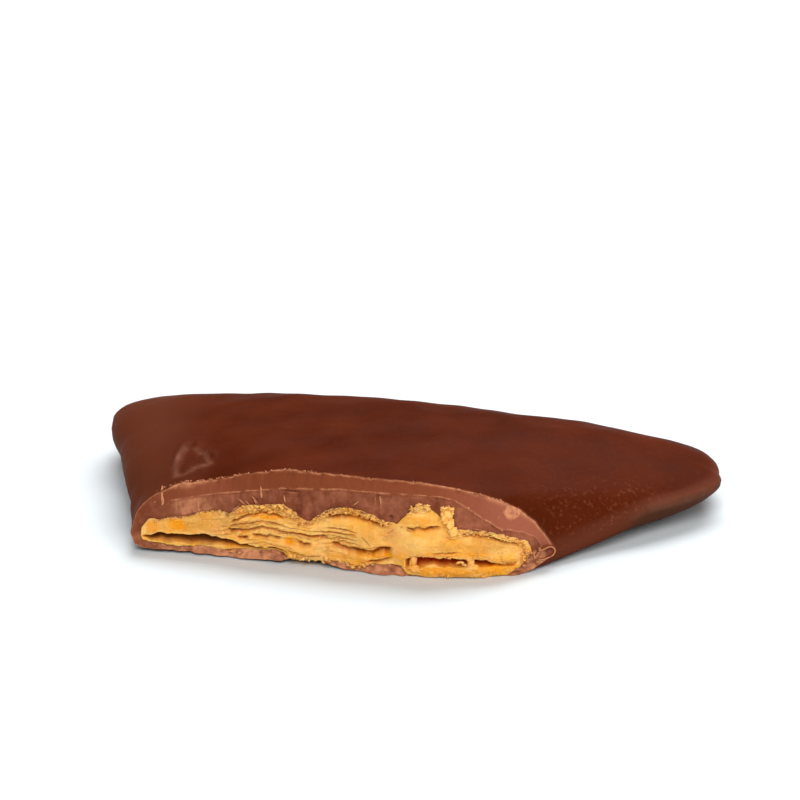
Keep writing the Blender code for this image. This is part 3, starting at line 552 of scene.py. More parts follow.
# Filling: a broken front of wavy layers, smooth mounds and two hollows, closed behind inside the chocolate
filling = {
    "columns": 420, "stand": 0.25,
    "rows": {"foot": 14, "floor": 16, "back": 6, "ceiling": 13, "front": 74},
    "layerHeight": 0.43, "layerStand": 0.26, "notch": 0.30,
    "layerLine": (
        (-28.3, 2.0), (-24.0, 2.5), (-20.5, 2.75), (-18.0, 3.14), (-15.5, 3.75), (-12.2, 3.5), (-10.5, 3.3),
        (-8.0, 3.45), (-6.0, 3.35), (-4.0, 3.0), (-2.0, 2.8), (0.0, 2.6), (4.0, 2.8), (8.0, 2.2), (11.4, 1.9),
    ),
    "hollowTop": (
        (-28.3, 1.8), (-27.4, 1.85), (-26.6, 2.17), (-25.1, 2.32), (-23.6, 2.16), (-21.6, 2.32),
        (-20.1, 2.26), (-19.0, 2.1), (-18.0, 1.72), (-16.2, 1.42), (-15.4, 1.5), (-14.7, 1.7),
        (-13.7, 1.68), (-13.0, 1.3), (-8.0, 1.3), (-2.0, 1.6), (-0.9, 2.19), (0.5, 2.3), (1.1, 2.37),
        (2.3, 2.08), (3.0, 2.25), (4.6, 2.08), (6.5, 1.92), (7.0, 1.9), (7.5, 1.55), (8.8, 1.25),
        (10.0, 1.1), (11.4, 2.1),
    ),
    "hollowFoot": (
        (-28.3, 1.7), (-27.4, 1.25), (-24.8, 1.15), (-21.6, 1.25), (-18.5, 1.12), (-15.4, 1.3),
        (-13.0, 1.2), (-8.0, 1.15), (-2.0, 1.35), (-0.9, 0.85), (0.5, 1.05), (1.6, 1.35), (2.4, 1.15),
        (3.6, 1.15), (4.5, 1.35), (5.8, 1.3), (6.8, 1.25), (8.0, 1.15), (10.0, 0.95), (11.4, 2.05),
    ),
    "hollowDepth": (
        (-28.2, 0.0), (-27.6, 1.6), (-26.0, 2.4), (-21.0, 2.6), (-19.4, 2.0), (-17.8, 1.2), (-15.0, 1.4),
        (-13.7, 1.1), (-13.1, 0.0), (-1.2, 0.0), (-0.6, 1.4), (1.0, 2.4), (4.0, 2.8), (6.2, 2.6), (7.6, 1.6),
        (9.0, 0.8), (10.0, 0.0),
    ),
    # how far the filling hangs over the broken lip of chocolate
    "droop": (
        (-13.4, 0.0), (-12.7, 0.35), (-11.5, 0.42), (-9.4, 0.3), (-8.4, 0.12), (-7.2, 0.0), (-1.6, 0.0),
        (-0.9, 0.1), (9.0, 0.1), (10.0, 0.0),
    ),
    # where layers show: across, up, half width, half height and how clearly
    "layered": (
        (-16.0, 3.1, 4.6, 1.5, 1.0), (-7.6, 3.7, 2.8, 1.1, 1.0), (-7.5, 2.0, 4.0, 0.6, 0.5),
        (2.5, 2.5, 4.5, 0.4, 0.3), (-14.0, 5.6, 4.0, 0.6, 0.6), (-0.6, 5.8, 1.4, 0.5, 0.5),
        (-22.0, 4.0, 3.0, 0.8, 0.35),
    ),
    # a crumbly rim under the chocolate roof: from, to, height and how far it stands out
    "rims": (
        (-19.2, -10.2, 0.62, 0.30), (-9.4, -2.8, 0.55, 0.26), (4.3, 10.9, 0.42, 0.20),
        (-27.6, -19.4, 0.22, 0.10),
    ),
    # smooth swellings: across, up, half width, half height, how far out, and how much they hide layers
    "mounds": (
        (-23.8, 3.2, 3.8, 1.1, 0.15, 0.85), (-27.2, 2.6, 1.0, 0.9, 0.15, 0.9),
        (-7.4, 5.3, 2.6, 0.8, 0.35, 0.9), (-4.7, 4.1, 1.5, 1.35, 0.40, 0.95),
        (0.3, 3.9, 2.3, 1.35, 0.55, 0.95), (6.9, 3.5, 3.2, 1.05, 0.45, 0.85),
        (-11.7, 1.8, 1.6, 0.75, 0.55, 0.8), (-2.7, 4.3, 1.0, 1.2, -0.25, 0.7),
        (-12.5, 2.7, 0.9, 0.5, -0.25, 0.6), (-15.5, 4.75, 2.4, 0.5, 0.10, 0.8),
        (-1.7, 2.25, 0.8, 0.7, 0.30, 0.9), (-15.0, 2.2, 1.6, 0.5, 0.25, 0.6),
        (10.4, 2.4, 0.9, 0.9, -0.15, 0.5), (1.6, 0.7, 1.3, 0.5, 0.25, 0.5), (4.6, 0.7, 1.4, 0.5, 0.40, 0.5),
        (7.6, 0.7, 1.4, 0.5, 0.20, 0.5), (0.2, 6.2, 1.6, 1.3, 0.35, 0.4),
        (-19.6, 3.6, 1.0, 0.8, -0.10, 0.4),
    ),
    # dark lines between layers, painted shade under the ledges: points, half width, depth, and how far the
    # layer above stands out over it
    "lines": (
        (((-19.0, 4.0), (-18.2, 4.36), (-16.9, 5.07), (-15.5, 5.38), (-14.4, 5.36),
          (-13.3, 4.8)), 0.09, 0.8, 0.30),
        (((-19.4, 2.95), (-17.0, 3.3), (-15.7, 3.75), (-15.3, 3.75), (-13.9, 3.53), (-12.2, 3.51),
          (-11.0, 3.22), (-10.0, 3.34), (-8.8, 3.54)), 0.11, 0.75, 0.24),
        (((-19.2, 3.29), (-18.0, 3.89), (-16.9, 4.11), (-15.7, 4.4), (-14.4, 4.33),
          (-13.3, 4.02)), 0.08, 0.35, 0.14),
        (((-18.4, 2.4), (-17.7, 2.48), (-17.0, 2.42)), 0.14, 0.8, 0.24),
        (((-16.9, 2.61), (-15.9, 2.87), (-15.3, 2.78), (-14.9, 2.99), (-13.6, 2.92)), 0.12, 0.6, 0.2),
        (((-12.3, 2.7), (-11.4, 2.43), (-10.5, 2.56)), 0.13, 0.8, 0.28),
        (((-9.2, 4.29), (-8.1, 4.46), (-7.1, 4.47), (-5.9, 4.2)), 0.06, 0.36, 0.14),
        (((-10.0, 3.88), (-7.7, 4.08), (-6.5, 3.96), (-6.0, 3.8)), 0.06, 0.36, 0.14),
        (((-8.8, 3.28), (-7.2, 3.51), (-6.1, 3.37)), 0.06, 0.36, 0.14),
        (((-8.5, 2.99), (-7.2, 3.08), (-6.3, 2.92)), 0.06, 0.36, 0.14),
        (((-8.7, 2.7), (-7.9, 2.63), (-6.7, 2.4), (-5.2, 2.44), (-4.5, 2.49), (-3.7, 2.73),
          (-2.4, 2.8)), 0.20, 1.6, 0.45),
        (((-5.1, 1.15), (-3.9, 1.49), (-3.2, 1.72), (-2.4, 1.96)), 0.10, 0.6, 0.2),
        (((-1.2, 5.2), (-0.4, 5.28), (0.7, 5.35), (2.4, 5.5)), 0.12, 1.2, 0.35),
        (((-5.7, 4.0), (-5.2, 3.6), (-4.6, 2.9)), 0.07, 0.3, 0.10),
        (((-9.3, 5.85), (-8.6, 5.83), (-7.2, 5.94), (-5.9, 6.05), (-4.9, 5.72), (-3.7, 5.42),
          (-3.0, 5.4)), 0.12, 1.0, 0.32),
        (((1.3, 2.65), (2.8, 2.8), (4.1, 2.87)), 0.07, 0.25, 0.10),
        (((4.3, 4.6), (5.3, 4.75), (6.1, 4.6), (7.3, 4.5), (7.8, 4.34), (8.6, 3.95),
          (10.2, 3.35)), 0.12, 0.8, 0.3),
        (((8.3, 1.54), (9.3, 1.35), (10.2, 1.3)), 0.09, 0.5, 0.18),
        (((-13.2, 1.5), (-11.5, 1.25), (-9.5, 1.35)), 0.06, 0.2, 0.1),
        (((-3.3, 3.3), (-2.9, 2.6), (-2.6, 2.2)), 0.08, 0.4, 0.1),
    ),
    # pinkish, crumbly places smeared with chocolate: across, up, half width, half height and strength
    "peach": (
        (-2.7, 4.4, 0.9, 1.4, 0.6), (-9.3, 2.2, 1.0, 0.7, 0.6), (-13.6, 1.9, 1.6, 0.4, 0.6),
        (-1.6, 2.9, 1.2, 0.6, 0.6), (10.2, 2.0, 0.8, 1.2, 0.6), (-0.9, 1.5, 0.5, 0.8, 0.6),
        (-20.5, 3.0, 1.2, 0.7, 0.6),
    ),
    # pale places, some of them painted highlights on swellings and ridges, and duller places: across, up,
    # half width, half height and strength
    "paleSpots": (
        (0.3, 3.75, 1.9, 0.9, 1.0), (-11.6, 1.9, 1.5, 0.55, 0.9), (-8.0, 3.9, 3.4, 1.2, 1.0),
        (-7.6, 3.3, 2.2, 0.5, 1.0), (-15.6, 4.2, 2.4, 0.5, 0.6), (-5.3, 3.3, 0.35, 0.7, 0.9),
        (0.3, 7.0, 1.0, 0.6, 0.6), (9.3, 3.0, 1.0, 0.8, 0.6), (-15.5, 2.9, 2.2, 0.4, 0.6),
        (-24.0, 3.9, 2.6, 0.25, 0.5), (-28.0, 2.3, 0.3, 0.7, 0.9),
    ),
    "dullSpots": (
        (-21.5, 3.6, 4.2, 1.3, 1.0), (-27.0, 2.6, 1.6, 1.0, 0.7), (7.2, 3.6, 3.4, 1.1, 1.0),
        (-4.3, 4.3, 1.6, 1.2, 0.45), (3.0, 0.8, 5.0, 0.6, 0.8), (0.2, 6.0, 1.4, 0.5, 0.5),
        (-2.7, 4.4, 1.0, 1.4, 0.6), (3.4, 3.4, 1.2, 0.7, 0.6),
    ),
    # glassy orange places: across, up, half width, half height and strength
    "orange": (
        (-24.4, 3.15, 1.05, 0.85, 1.0), (-27.0, 2.8, 0.8, 0.7, 0.5), (-15.4, 5.0, 2.4, 0.45, 1.0),
        (-12.5, 2.6, 1.0, 0.5, 0.9), (-11.4, 1.9, 1.3, 0.6, 0.7), (-4.0, 2.1, 2.4, 0.5, 1.0),
        (-1.6, 2.2, 0.7, 0.6, 0.8), (2.6, 0.8, 4.0, 0.6, 0.9), (7.5, 0.9, 2.5, 0.6, 0.6),
        (4.2, 2.55, 4.0, 0.3, 0.6), (0.4, 6.1, 1.5, 0.5, 0.4), (-7.0, 1.5, 2.5, 0.4, 0.4),
        (-16.0, 3.95, 2.0, 0.25, 0.35),
    ),
}


def lineOf(name, x):
    # Straight lines through a table's points, read at x
    points = np.array(filling[name])
    return np.interp(x, points[:, 0], points[:, 1])


def lineShare(x, z, points, wide, seed):
    # A bell across a traced line that wavers a little and fades at both ends, and the signed height over it
    px, pz = np.array(points).T
    middle = np.interp(x, px, pz) + 0.06 * roughNoise(x * 1.6, 0.0, 0.0, seed, 4, 0.6)
    reach = smoothStep((x - px[0]) / 0.5) * smoothStep((px[-1] - x) / 0.5)
    away = z - middle
    return reach * bell(away, np.where(away < 0, 2.2 * wide, wide)), reach, away


def patchesOf(name, x, z, border, least, fade):
    # The strongest of a table's bells at each place, each with a ragged border and its own strength
    total = np.zeros(np.shape(x))
    for middleX, middleZ, wide, tall, strength in filling[name]:
        spot = blob(x, z, middleX, middleZ, wide, tall) + border
        total = np.maximum(total, strength * smoothStep((spot - least) / fade))
    return total


def standOf(x, layer):
    # How far one layer stands out along x: a slow part and a finer, ragged part
    return noise(x * 0.42, layer * 7.3, 0.0, 121) + 0.5 * roughNoise(x * 1.7, layer * 3.7, 0.0, 122, 3)


def fillingRelief(x, z):
    # How far each place of the front lies behind its plane, how much painted shade it gets in grooves and
    # notches, and how much of a rim it is
    back = 0.14 * roughNoise(x * 0.35, z * 0.5, 0.0, 101, 2)
    hidden = np.zeros(np.shape(x))
    for middleX, middleZ, wide, tall, out, hide in filling["mounds"]:
        mound = blob(x, z, middleX, middleZ, wide, tall)
        back = back - out * mound
        hidden = np.maximum(hidden, hide * smoothStep(mound / 0.5))
    shown = np.full(np.shape(x), 0.16)
    for middleX, middleZ, wide, tall, clear in filling["layered"]:
        shown = np.maximum(shown, clear * smoothStep(blob(x, z, middleX, middleZ, wide, tall) / 0.55))
    shown = shown * (1.0 - 0.8 * hidden)

    # Layers follow one wavy line, each with its own stand and a broken, notched lower edge
    phase = (z - lineOf("layerLine", x)) / filling["layerHeight"]
    phase = phase + 0.30 * roughNoise(x * 0.35, z * 0.3, 0.0, 111, 2)
    phase = phase + 0.10 * roughNoise(x * 2.2, z * 0.5, 0.0, 113, 3)
    layer = np.floor(phase)
    within = phase - layer
    blend = smoothStep(within / 0.16)
    steps = filling["layerStand"] * (standOf(x, layer - 1) * (1.0 - blend) + standOf(x, layer) * blend)
    gate = smoothStep((noise(x * 0.6, layer * 5.1, 0.0, 131) + 0.35) / 0.5)
    cut = bell(within - 0.05, 0.11) * gate
    back = back - (steps - filling["notch"] * cut) * shown
    # Painted shade in each layer's notched lower edge
    seam = 0.8 * cut * shown

    # Traced dark lines, each under a ledge that stands out over it, with painted shade along them
    for index, (points, wide, deep, over) in enumerate(filling["lines"]):
        share, reach, away = lineShare(x, z, points, wide, 141 + index)
        ragged = 0.7 + 0.45 * roughNoise(x * 1.5, z * 1.6, 0.0, 161 + index, 3)
        back = back + deep * ragged * share
        above = np.where(away > 0, np.exp(-away / 0.30), 0.0) * smoothStep(away / (1.4 * wide))
        back = back - over * reach * above * ragged
        seam = np.maximum(seam, share * unit(0.55 + deep * 0.6))

    # A crumbly rim under the chocolate
    rim = np.zeros(np.shape(x))
    roof = along("roof", x)
    for low, high, tall, out in filling["rims"]:
        ends = smoothStep((x - low) / 0.8) * smoothStep((high - x) / 0.8)
        edge = roof - tall * (0.8 + 0.45 * roughNoise(x * 1.2, 0.0, 0.0, 171, 3))
        share = ends * smoothStep((z - edge) / 0.12)
        back = back - out * share * (0.8 + 0.7 * roughNoise(x * 2.6, z * 2.6, 0.0, 173, 3))
        rim = np.maximum(rim, share)
    border = 0.40 * roughNoise(x * 1.7, z * 2.2, 0.0, 175, 4, 0.6)
    rim = np.maximum(rim, patchesOf("peach", x, z, border, 0.40, 0.5))
    smooth = 1.0 - 0.3 * hidden
    grain = 0.06 * roughNoise(x * 3.5, z * 5.0, 0.0, 181, 4, 0.65)
    grain = grain + 0.05 * roughNoise(x * 1.1, z * 2.2, 0.0, 189, 2)
    return back - grain * smooth, seam, rim


def buildFilling(material):
    # Rows up the front, in and out of the hollows on the way, and a skin behind that closes under the roof
    a = spread(filling["columns"])
    top = hollowPoint(a, np.zeros_like(a), True, 0.0)
    bottom = hollowPoint(a, np.zeros_like(a), False, 0.0)
    x = 0.5 * (top[:, 0] + bottom[:, 0])
    zTop = np.maximum(top[:, 2] - 0.02, bottom[:, 2])
    zBottom = bottom[:, 2] - lineOf("droop", x)
    foot = lineOf("hollowFoot", x) + 0.14 * roughNoise(x * 0.9, 0.0, 0.0, 191, 3)
    foot = np.clip(foot, zBottom + 0.03, zTop - 0.2)
    ceiling = np.clip(lineOf("hollowTop", x), foot + 0.08, zTop - 0.1)
    ragged = 0.10 * roughNoise(x * 1.1, 0.0, 0.0, 193, 4, 0.6) * smoothStep((ceiling - foot) / 0.5)
    foot = np.where(zTop - zBottom < 0.4, zBottom + 0.2 * (zTop - zBottom), foot)
    ceiling = np.where(zTop - zBottom < 0.4, zBottom + 0.6 * (zTop - zBottom), ceiling)
    depth = lineOf("hollowDepth", x)
    gap = ceiling - foot
    rise = 0.25 + 0.40 * smoothStep((-13.0 - x) / 3.0)
    parts = []
    for key, count in filling["rows"].items():
        t = np.linspace(0.0, 1.0, count + 1)[(0 if key == "foot" else 1) :, None]
        if key == "foot":
            parts.append((zBottom + (foot - zBottom) * t, np.zeros_like(t) * depth))
        elif key == "floor":
            parts.append((foot + rise * gap * t, depth * t))
        elif key == "back":
            parts.append((foot + (rise + (0.88 - rise) * t) * gap, depth * (1.0 + 0.06 * np.sin(np.pi * t))))
        elif key == "ceiling":
            parts.append((foot + (0.88 + 0.12 * t) * gap + ragged * t**3, depth * (1.0 - t)))
        else:
            parts.append((ceiling + ragged * (1.0 - t) + (zTop - ceiling) * t, np.zeros_like(t) * depth))
    z = np.concatenate([p[0] for p in parts])
    deep = np.concatenate([p[1] for p in parts])
    across = np.broadcast_to(x, z.shape)
    inHollow = smoothStep(deep / 0.5)
    rounded = endRounding(a, 8.0)[None, :]
    relief, seam, rim = fillingRelief(across, z)
    back = relief * (1.0 - inHollow) * rounded
    lumps = roughNoise(across * 1.5, deep * 1.2, z * 1.2, 171, 3)
    y = faceLine(across) + filling["stand"] + back + deep + 0.12 * lumps * inHollow
    nearLip = smoothStep((zBottom + 0.8 - z) / 0.8) * (1.0 - inHollow)
    y = y + 0.10 * lipChip(across) * endRounding(a, 6.0)[None, :] * nearLip
    zz = z + 0.10 * lumps * inHollow * rounded
    face = np.stack([across, y, zz], axis=-1)

    # Pale raised edges, partly painted highlight, pale spots, glassy orange places, painted shade in sunk
    # places, and dull places
    soft = back.copy()
    for turn in range(3):
        sides = np.roll(soft, 2, 1) + np.roll(soft, -2, 1)
        soft = (soft + np.roll(soft, 1, 0) + np.roll(soft, -1, 0) + sides) / 5.0
    # Places that stand out from their neighbours, and the edge over the hollows, turn pale: partly the
    # crumbly edges' own colour, partly painted highlight
    raised = np.clip((soft - back) / 0.10, -1.0, 1.0) * (1.0 - inHollow)
    brim = bell(z - ceiling - ragged, 0.22) * smoothStep(gap / 0.5) * (1.0 - inHollow)
    border = 0.20 * roughNoise(across * 0.9, z * 1.4, 0.0, 185, 3)
    raised = np.maximum(np.maximum(raised, 0.8 * brim), patchesOf("paleSpots", across, z, border, 0.2, 0.7))
    border = 0.10 * roughNoise(across * 1.2, z * 1.8, 0.0, 183, 3)
    orange = patchesOf("orange", across, z, border, 0.25, 0.5)
    orange = unit(orange + 0.25 * roughNoise(across * 0.8, z * 1.2, 0.0, 181, 3))
    # Painted shade: darker orange deeper in the hollows
    sunk = unit(deep / 1.7)
    border = 0.25 * roughNoise(across * 0.8, z * 1.1, 0.0, 187, 3)
    dull = patchesOf("dullSpots", across, z, border, 0.15, 0.6)

    # Skin behind the face, inside the chocolate
    reach = np.linspace(0.0, 1.0, 9)[1:]
    v, acrossSkin = np.meshgrid(reach, a, indexing="ij")
    upperSkin = hollowPoint(acrossSkin, v, True, 0.15)
    lowerSkin = hollowPoint(acrossSkin, v, False, 0.15)
    rows = np.concatenate([lowerSkin[::-1], face, upperSkin], axis=0)
    behind = len(reach)

    def padded(values):
        # The face's values between plain zeros for the rows behind it
        return np.pad(values, ((behind, behind), (0, 0)))

    attributes = {"raised": padded(raised), "orange": padded(orange), "sunk": padded(sunk)}
    attributes["seam"] = padded(unit(seam * (1.0 - inHollow)))
    attributes["rim"] = padded(rim * (1.0 - inHollow))
    attributes["dull"] = padded(dull)
    # Painted shade on the floor of the left hollow
    attributes["dim"] = padded(smoothStep(deep / 1.2) * smoothStep((-13.5 - across) / 2.0))
    piece = makePiece("flakyCore", [rows], material, attributes)
    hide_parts("flaky_filling")
    return piece


# Loose leaves of the filling that stand out of its front
leaves = {
    "seed": 7, "count": 46, "along": 44, "around": 14,
    "thick": (0.07, 0.15), "out": (0.05, 0.32), "deep": 1.1,
    "middle": (-19.5, 10.0), "long": (1.6, 5.0), "ends": (-27.6, 10.6), "layers": (-4, 7),
}


def leafRows(px, pz, out, thick, seed):
    # A flat tube along the line: its section runs round from a ragged front edge to a buried back edge
    s = np.linspace(0.0, 1.0, leaves["along"])[:, None]
    turn = np.linspace(0.0, 2.0 * np.pi, leaves["around"])[None, :]
    x = px[0] + (px[-1] - px[0]) * s
    z = np.interp(x, px, pz) + 0.06 * roughNoise(x * 0.9, seed * 3.1, 0.0, 201, 3)
    ends = np.sqrt(unit(1.0 - (2.0 * s - 1.0) ** 4))
    ragged = 0.45 + 0.55 * roughNoise(x * 1.4, seed * 1.7, 0.0, 211, 4, 0.65)
    front = out * ragged * ends - 0.35 * (1.0 - ends)
    surface = faceLine(x) + filling["stand"] + fillingRelief(x, z)[0]
    y = surface - front + leaves["deep"] * (1.0 - np.cos(turn)) / 2.0
    sag = -0.18 * out * np.cos(turn)
    tall = thick * (0.35 + 0.65 * ends) * np.sin(turn) * (0.6 - 0.4 * np.cos(turn))
    return np.stack([x + 0.0 * turn, y, z + tall / 2.0 + sag * 0.5], axis=-1)


def buildLeaves(material):
    # One leaf over each traced line, then short ones at random on the layers, except on smooth swellings
    random = np.random.default_rng(leaves["seed"])
    groups = []
    for index, (points, wide, deep, over) in enumerate(filling["lines"]):
        px, pz = np.array(points).T
        groups.append(leafRows(px, pz + wide + 0.04, 0.12 + 0.6 * over, 0.11 + 0.1 * over, index))
    for index in range(leaves["count"]):
        middle = random.uniform(*leaves["middle"])
        half = random.uniform(*leaves["long"]) / 2
        px = np.clip(np.linspace(middle - half, middle + half, 9), *leaves["ends"])
        up = random.integers(*leaves["layers"]) * filling["layerHeight"] + random.uniform(-0.05, 0.05)
        floor = np.maximum(lineOf("hollowTop", px), along("lip", px)) + 0.15
        pz = np.clip(lineOf("layerLine", px) + up, floor, along("roof", px) - 0.25)
        out = random.uniform(*leaves["out"])
        if max(blob(middle, pz[4], *mound[:4]) * mound[5] for mound in filling["mounds"]) > 0.45:
            continue
        groups.append(leafRows(px, pz, out, random.uniform(*leaves["thick"]), 50 + index))
    points = np.stack(groups)
    attributes = tints(fillingTints, points[..., 0], raised=0.35, orange=0.25)
    return makePiece("flakyLeaves", [points], material, attributes)


# Rows and columns of one crumb, one larger lump and one sliver: crumbs have only a few dozen faces each
crumbGrid, lumpGrid, sliverGrid = (7, 9), (36, 54), (24, 16)


def lumps(centres, radii, seed, grid, rough, fine, loose=1.0):
    # Spheres stretched to three radii, turned more or less at random, each point moved in or out by noise
    up = np.linspace(0.0, np.pi, grid[0])[:, None]
    turn = np.linspace(0.0, 2.0 * np.pi, grid[1] + 1)[None, :]
    ball = np.stack([np.sin(up) * np.cos(turn), np.sin(up) * np.sin(turn), np.cos(up) + 0.0 * turn], axis=-1)
    turned = np.random.default_rng(seed).normal(0.0, loose, (len(centres), 3, 3)) + (1.0 - loose) * np.eye(3)
    turned = np.linalg.qr(turned)[0]
    own = np.arange(len(centres))[:, None, None] * 13.7
    x, y, z = ball[..., 0] * fine + own, ball[..., 1] * fine, ball[..., 2] * fine
    size = 1.0 + rough * roughNoise(x, y, z, seed, 3, 0.6)
    stretched = ball[None] * np.asarray(radii, float)[:, None, None, :] * size[..., None]
    return np.asarray(centres, float)[:, None, None, :] + np.einsum("nab,nijb->nija", turned, stretched)


def overEach(values, grids):
    # One value for each grid of a stack, repeated at all its points
    return np.repeat(values, grids.shape[1] * grids.shape[2])


def along3(path, count, random, spreadBy):
    # Places spread at random along a line of points, with a little scatter
    path = np.asarray(path, float)
    s = np.sort(random.uniform(0.0, len(path) - 1.0, count))
    places = np.stack([np.interp(s, np.arange(len(path)), path[:, k]) for k in range(3)], axis=-1)
    return places + random.normal(0.0, 1.0, (count, 3)) * np.asarray(spreadBy)


def onFace(x, z, out):
    # A place on the broken face, out millimetres in front of its plane
    x = np.asarray(x, float)
    return np.stack([x, faceLine(x) - out, np.asarray(z, float) + 0.0 * x], axis=-1)


# Crumbs, chips, larger lumps and dust of the filling
fillingBits = {
    "seed": 19, "dust": 700, "dustSize": (0.02, 0.07),
    # heaps of crumbs: a line of points over the face, a count, sizes, how far out, and lightness
    "heaps": (
        (((2.4, 7.5), (2.6, 7.7), (3.0, 7.3), (3.6, 7.6)), 16, (0.09, 0.20), 0.30, 1.0),
        (((2.5, 7.2), (2.5, 6.5), (2.9, 6.2), (3.4, 6.6), (3.5, 7.1)), 22, (0.09, 0.20), 0.30, 1.0),
        (((3.2, 6.1), (3.3, 5.3), (3.7, 4.9)), 16, (0.08, 0.18), 0.30, 1.0),
        (((3.0, 4.7), (3.6, 4.4), (4.3, 4.8)), 12, (0.07, 0.17), 0.25, 0.9),
        (((-0.5, 7.15), (0.1, 7.5), (0.9, 7.6), (1.2, 7.3)), 34, (0.10, 0.24), 0.25, 1.0),
        (((-0.3, 7.6), (0.4, 7.9), (1.1, 7.8)), 9, (0.08, 0.16), 0.25, 1.0),
        (((-1.2, 6.3), (-0.9, 6.7), (-0.6, 7.0)), 12, (0.05, 0.12), 0.05, 0.9),
        (((-18.8, 4.9), (-17.4, 5.7), (-15.7, 5.95), (-13.7, 6.15), (-12.6, 5.5),
          (-11.9, 4.9)), 110, (0.05, 0.17), 0.10, 0.6),
        (((-17.4, 5.5), (-15.7, 5.7), (-13.9, 5.8), (-12.8, 5.2)), 46, (0.04, 0.12), 0.12, 0.7),
        (((-12.0, 4.8), (-10.9, 4.6), (-10.3, 5.0), (-9.2, 5.85)), 34, (0.05, 0.14), 0.06, 0.5),
        (((-9.2, 6.0), (-8.0, 6.4), (-6.8, 6.65), (-5.2, 6.2), (-4.0, 5.8),
          (-3.0, 5.45)), 84, (0.05, 0.16), 0.08, 0.6),
        (((-8.6, 5.95), (-7.0, 6.35), (-5.4, 5.95)), 30, (0.04, 0.10), 0.10, 0.7),
        (((-1.8, 5.5), (-1.2, 5.2), (-0.6, 5.0)), 10, (0.07, 0.15), 0.0, 0.6),
        (((4.4, 4.95), (6.5, 4.75), (8.3, 4.3), (9.8, 3.75), (10.9, 3.3)), 70, (0.05, 0.15), 0.08, 0.6),
        (((-1.0, 2.45), (1.5, 2.45), (4.0, 2.3), (6.8, 2.1), (9.0, 1.55)), 60, (0.04, 0.13), 0.10, 0.8),
        (((-27.9, 3.3), (-26.0, 3.6), (-23.5, 4.1), (-21.0, 4.8),
          (-19.3, 4.7)), 40, (0.04, 0.11), -0.05, 0.3),
        (((-6.9, 0.9), (-6.4, 0.5), (-5.6, 0.95), (-5.0, 1.05)), 14, (0.08, 0.22), 0.0, 0.7),
        (((-4.6, 1.1), (-3.4, 1.2), (-2.4, 1.2)), 8, (0.05, 0.14), 0.0, 0.6),
        (((0.4, 0.35), (3.0, 0.4), (5.5, 0.35), (6.8, 0.3), (8.6, 0.4),
          (10.0, 0.75)), 26, (0.08, 0.20), -0.20, 0.4),
        (((-12.9, 0.95), (-12.0, 0.75), (-10.4, 0.8), (-8.6, 0.9)), 14, (0.07, 0.18), -0.05, 0.6),
        (((4.2, 1.75), (4.6, 1.5), (4.9, 1.35)), 7, (0.12, 0.22), -0.25, 0.9),
        (((10.6, 3.3), (11.0, 2.7), (10.9, 2.0), (10.5, 1.3)), 30, (0.08, 0.2), 0.0, 0.3),
        (((-24.5, 1.15), (-22.5, 1.25), (-20.8, 1.2)), 12, (0.06, 0.14), -0.4, 0.3),
        (((-19.8, 0.75), (-18.5, 0.8), (-17.0, 0.75)), 8, (0.05, 0.12), -0.05, 0.5),
    ),
    # chips of the layers that stick out of the crumbly rims: a line, a count, half lengths, how far out
    "chips": (
        (((-18.6, 4.95), (-17.4, 5.75), (-15.7, 6.0), (-13.7, 6.15), (-12.6, 5.5),
          (-11.9, 4.95)), 46, (0.12, 0.34), 0.22),
        (((-17.6, 5.4), (-15.7, 5.65), (-13.6, 5.7), (-12.8, 5.1)), 26, (0.12, 0.30), 0.20),
        (((-10.6, 4.9), (-9.2, 5.95), (-8.0, 6.35), (-6.8, 6.6), (-5.2, 6.2), (-4.0, 5.8),
          (-3.0, 5.5)), 46, (0.10, 0.28), 0.20),
        (((4.4, 4.8), (6.5, 4.6), (8.3, 4.15), (9.8, 3.55), (10.8, 3.0)), 26, (0.06, 0.20), -0.02),
        (((-0.6, 7.3), (0.2, 7.7), (1.2, 7.6)), 14, (0.10, 0.24), 0.20),
        (((2.4, 7.3), (3.0, 7.6), (3.6, 7.2)), 12, (0.10, 0.22), 0.35),
        (((-13.0, 1.15), (-11.5, 1.0), (-9.0, 1.1), (-6.9, 1.0)), 18, (0.10, 0.26), 0.25),
    ),
    # larger lumps: across, up, half width, half depth, half height, how far out, and lightness
    "lumps": (
        (2.95, 6.95, 0.62, 0.40, 0.72, 0.05, 1.0), (3.25, 6.00, 0.42, 0.36, 0.62, 0.08, 1.0),
        (3.55, 5.15, 0.46, 0.36, 0.50, 0.10, 1.0), (0.35, 7.20, 0.62, 0.30, 0.28, -0.05, 0.9),
        (-0.40, 1.65, 0.36, 0.45, 0.90, -0.55, 0.6), (-0.25, 0.95, 0.60, 0.50, 0.35, -0.45, 0.5),
        (5.35, 1.75, 0.34, 0.45, 0.70, -0.50, 0.7), (5.55, 1.15, 0.65, 0.50, 0.35, -0.40, 0.6),
        (5.20, 2.15, 0.60, 0.50, 0.30, -0.45, 0.5),
    ),
}


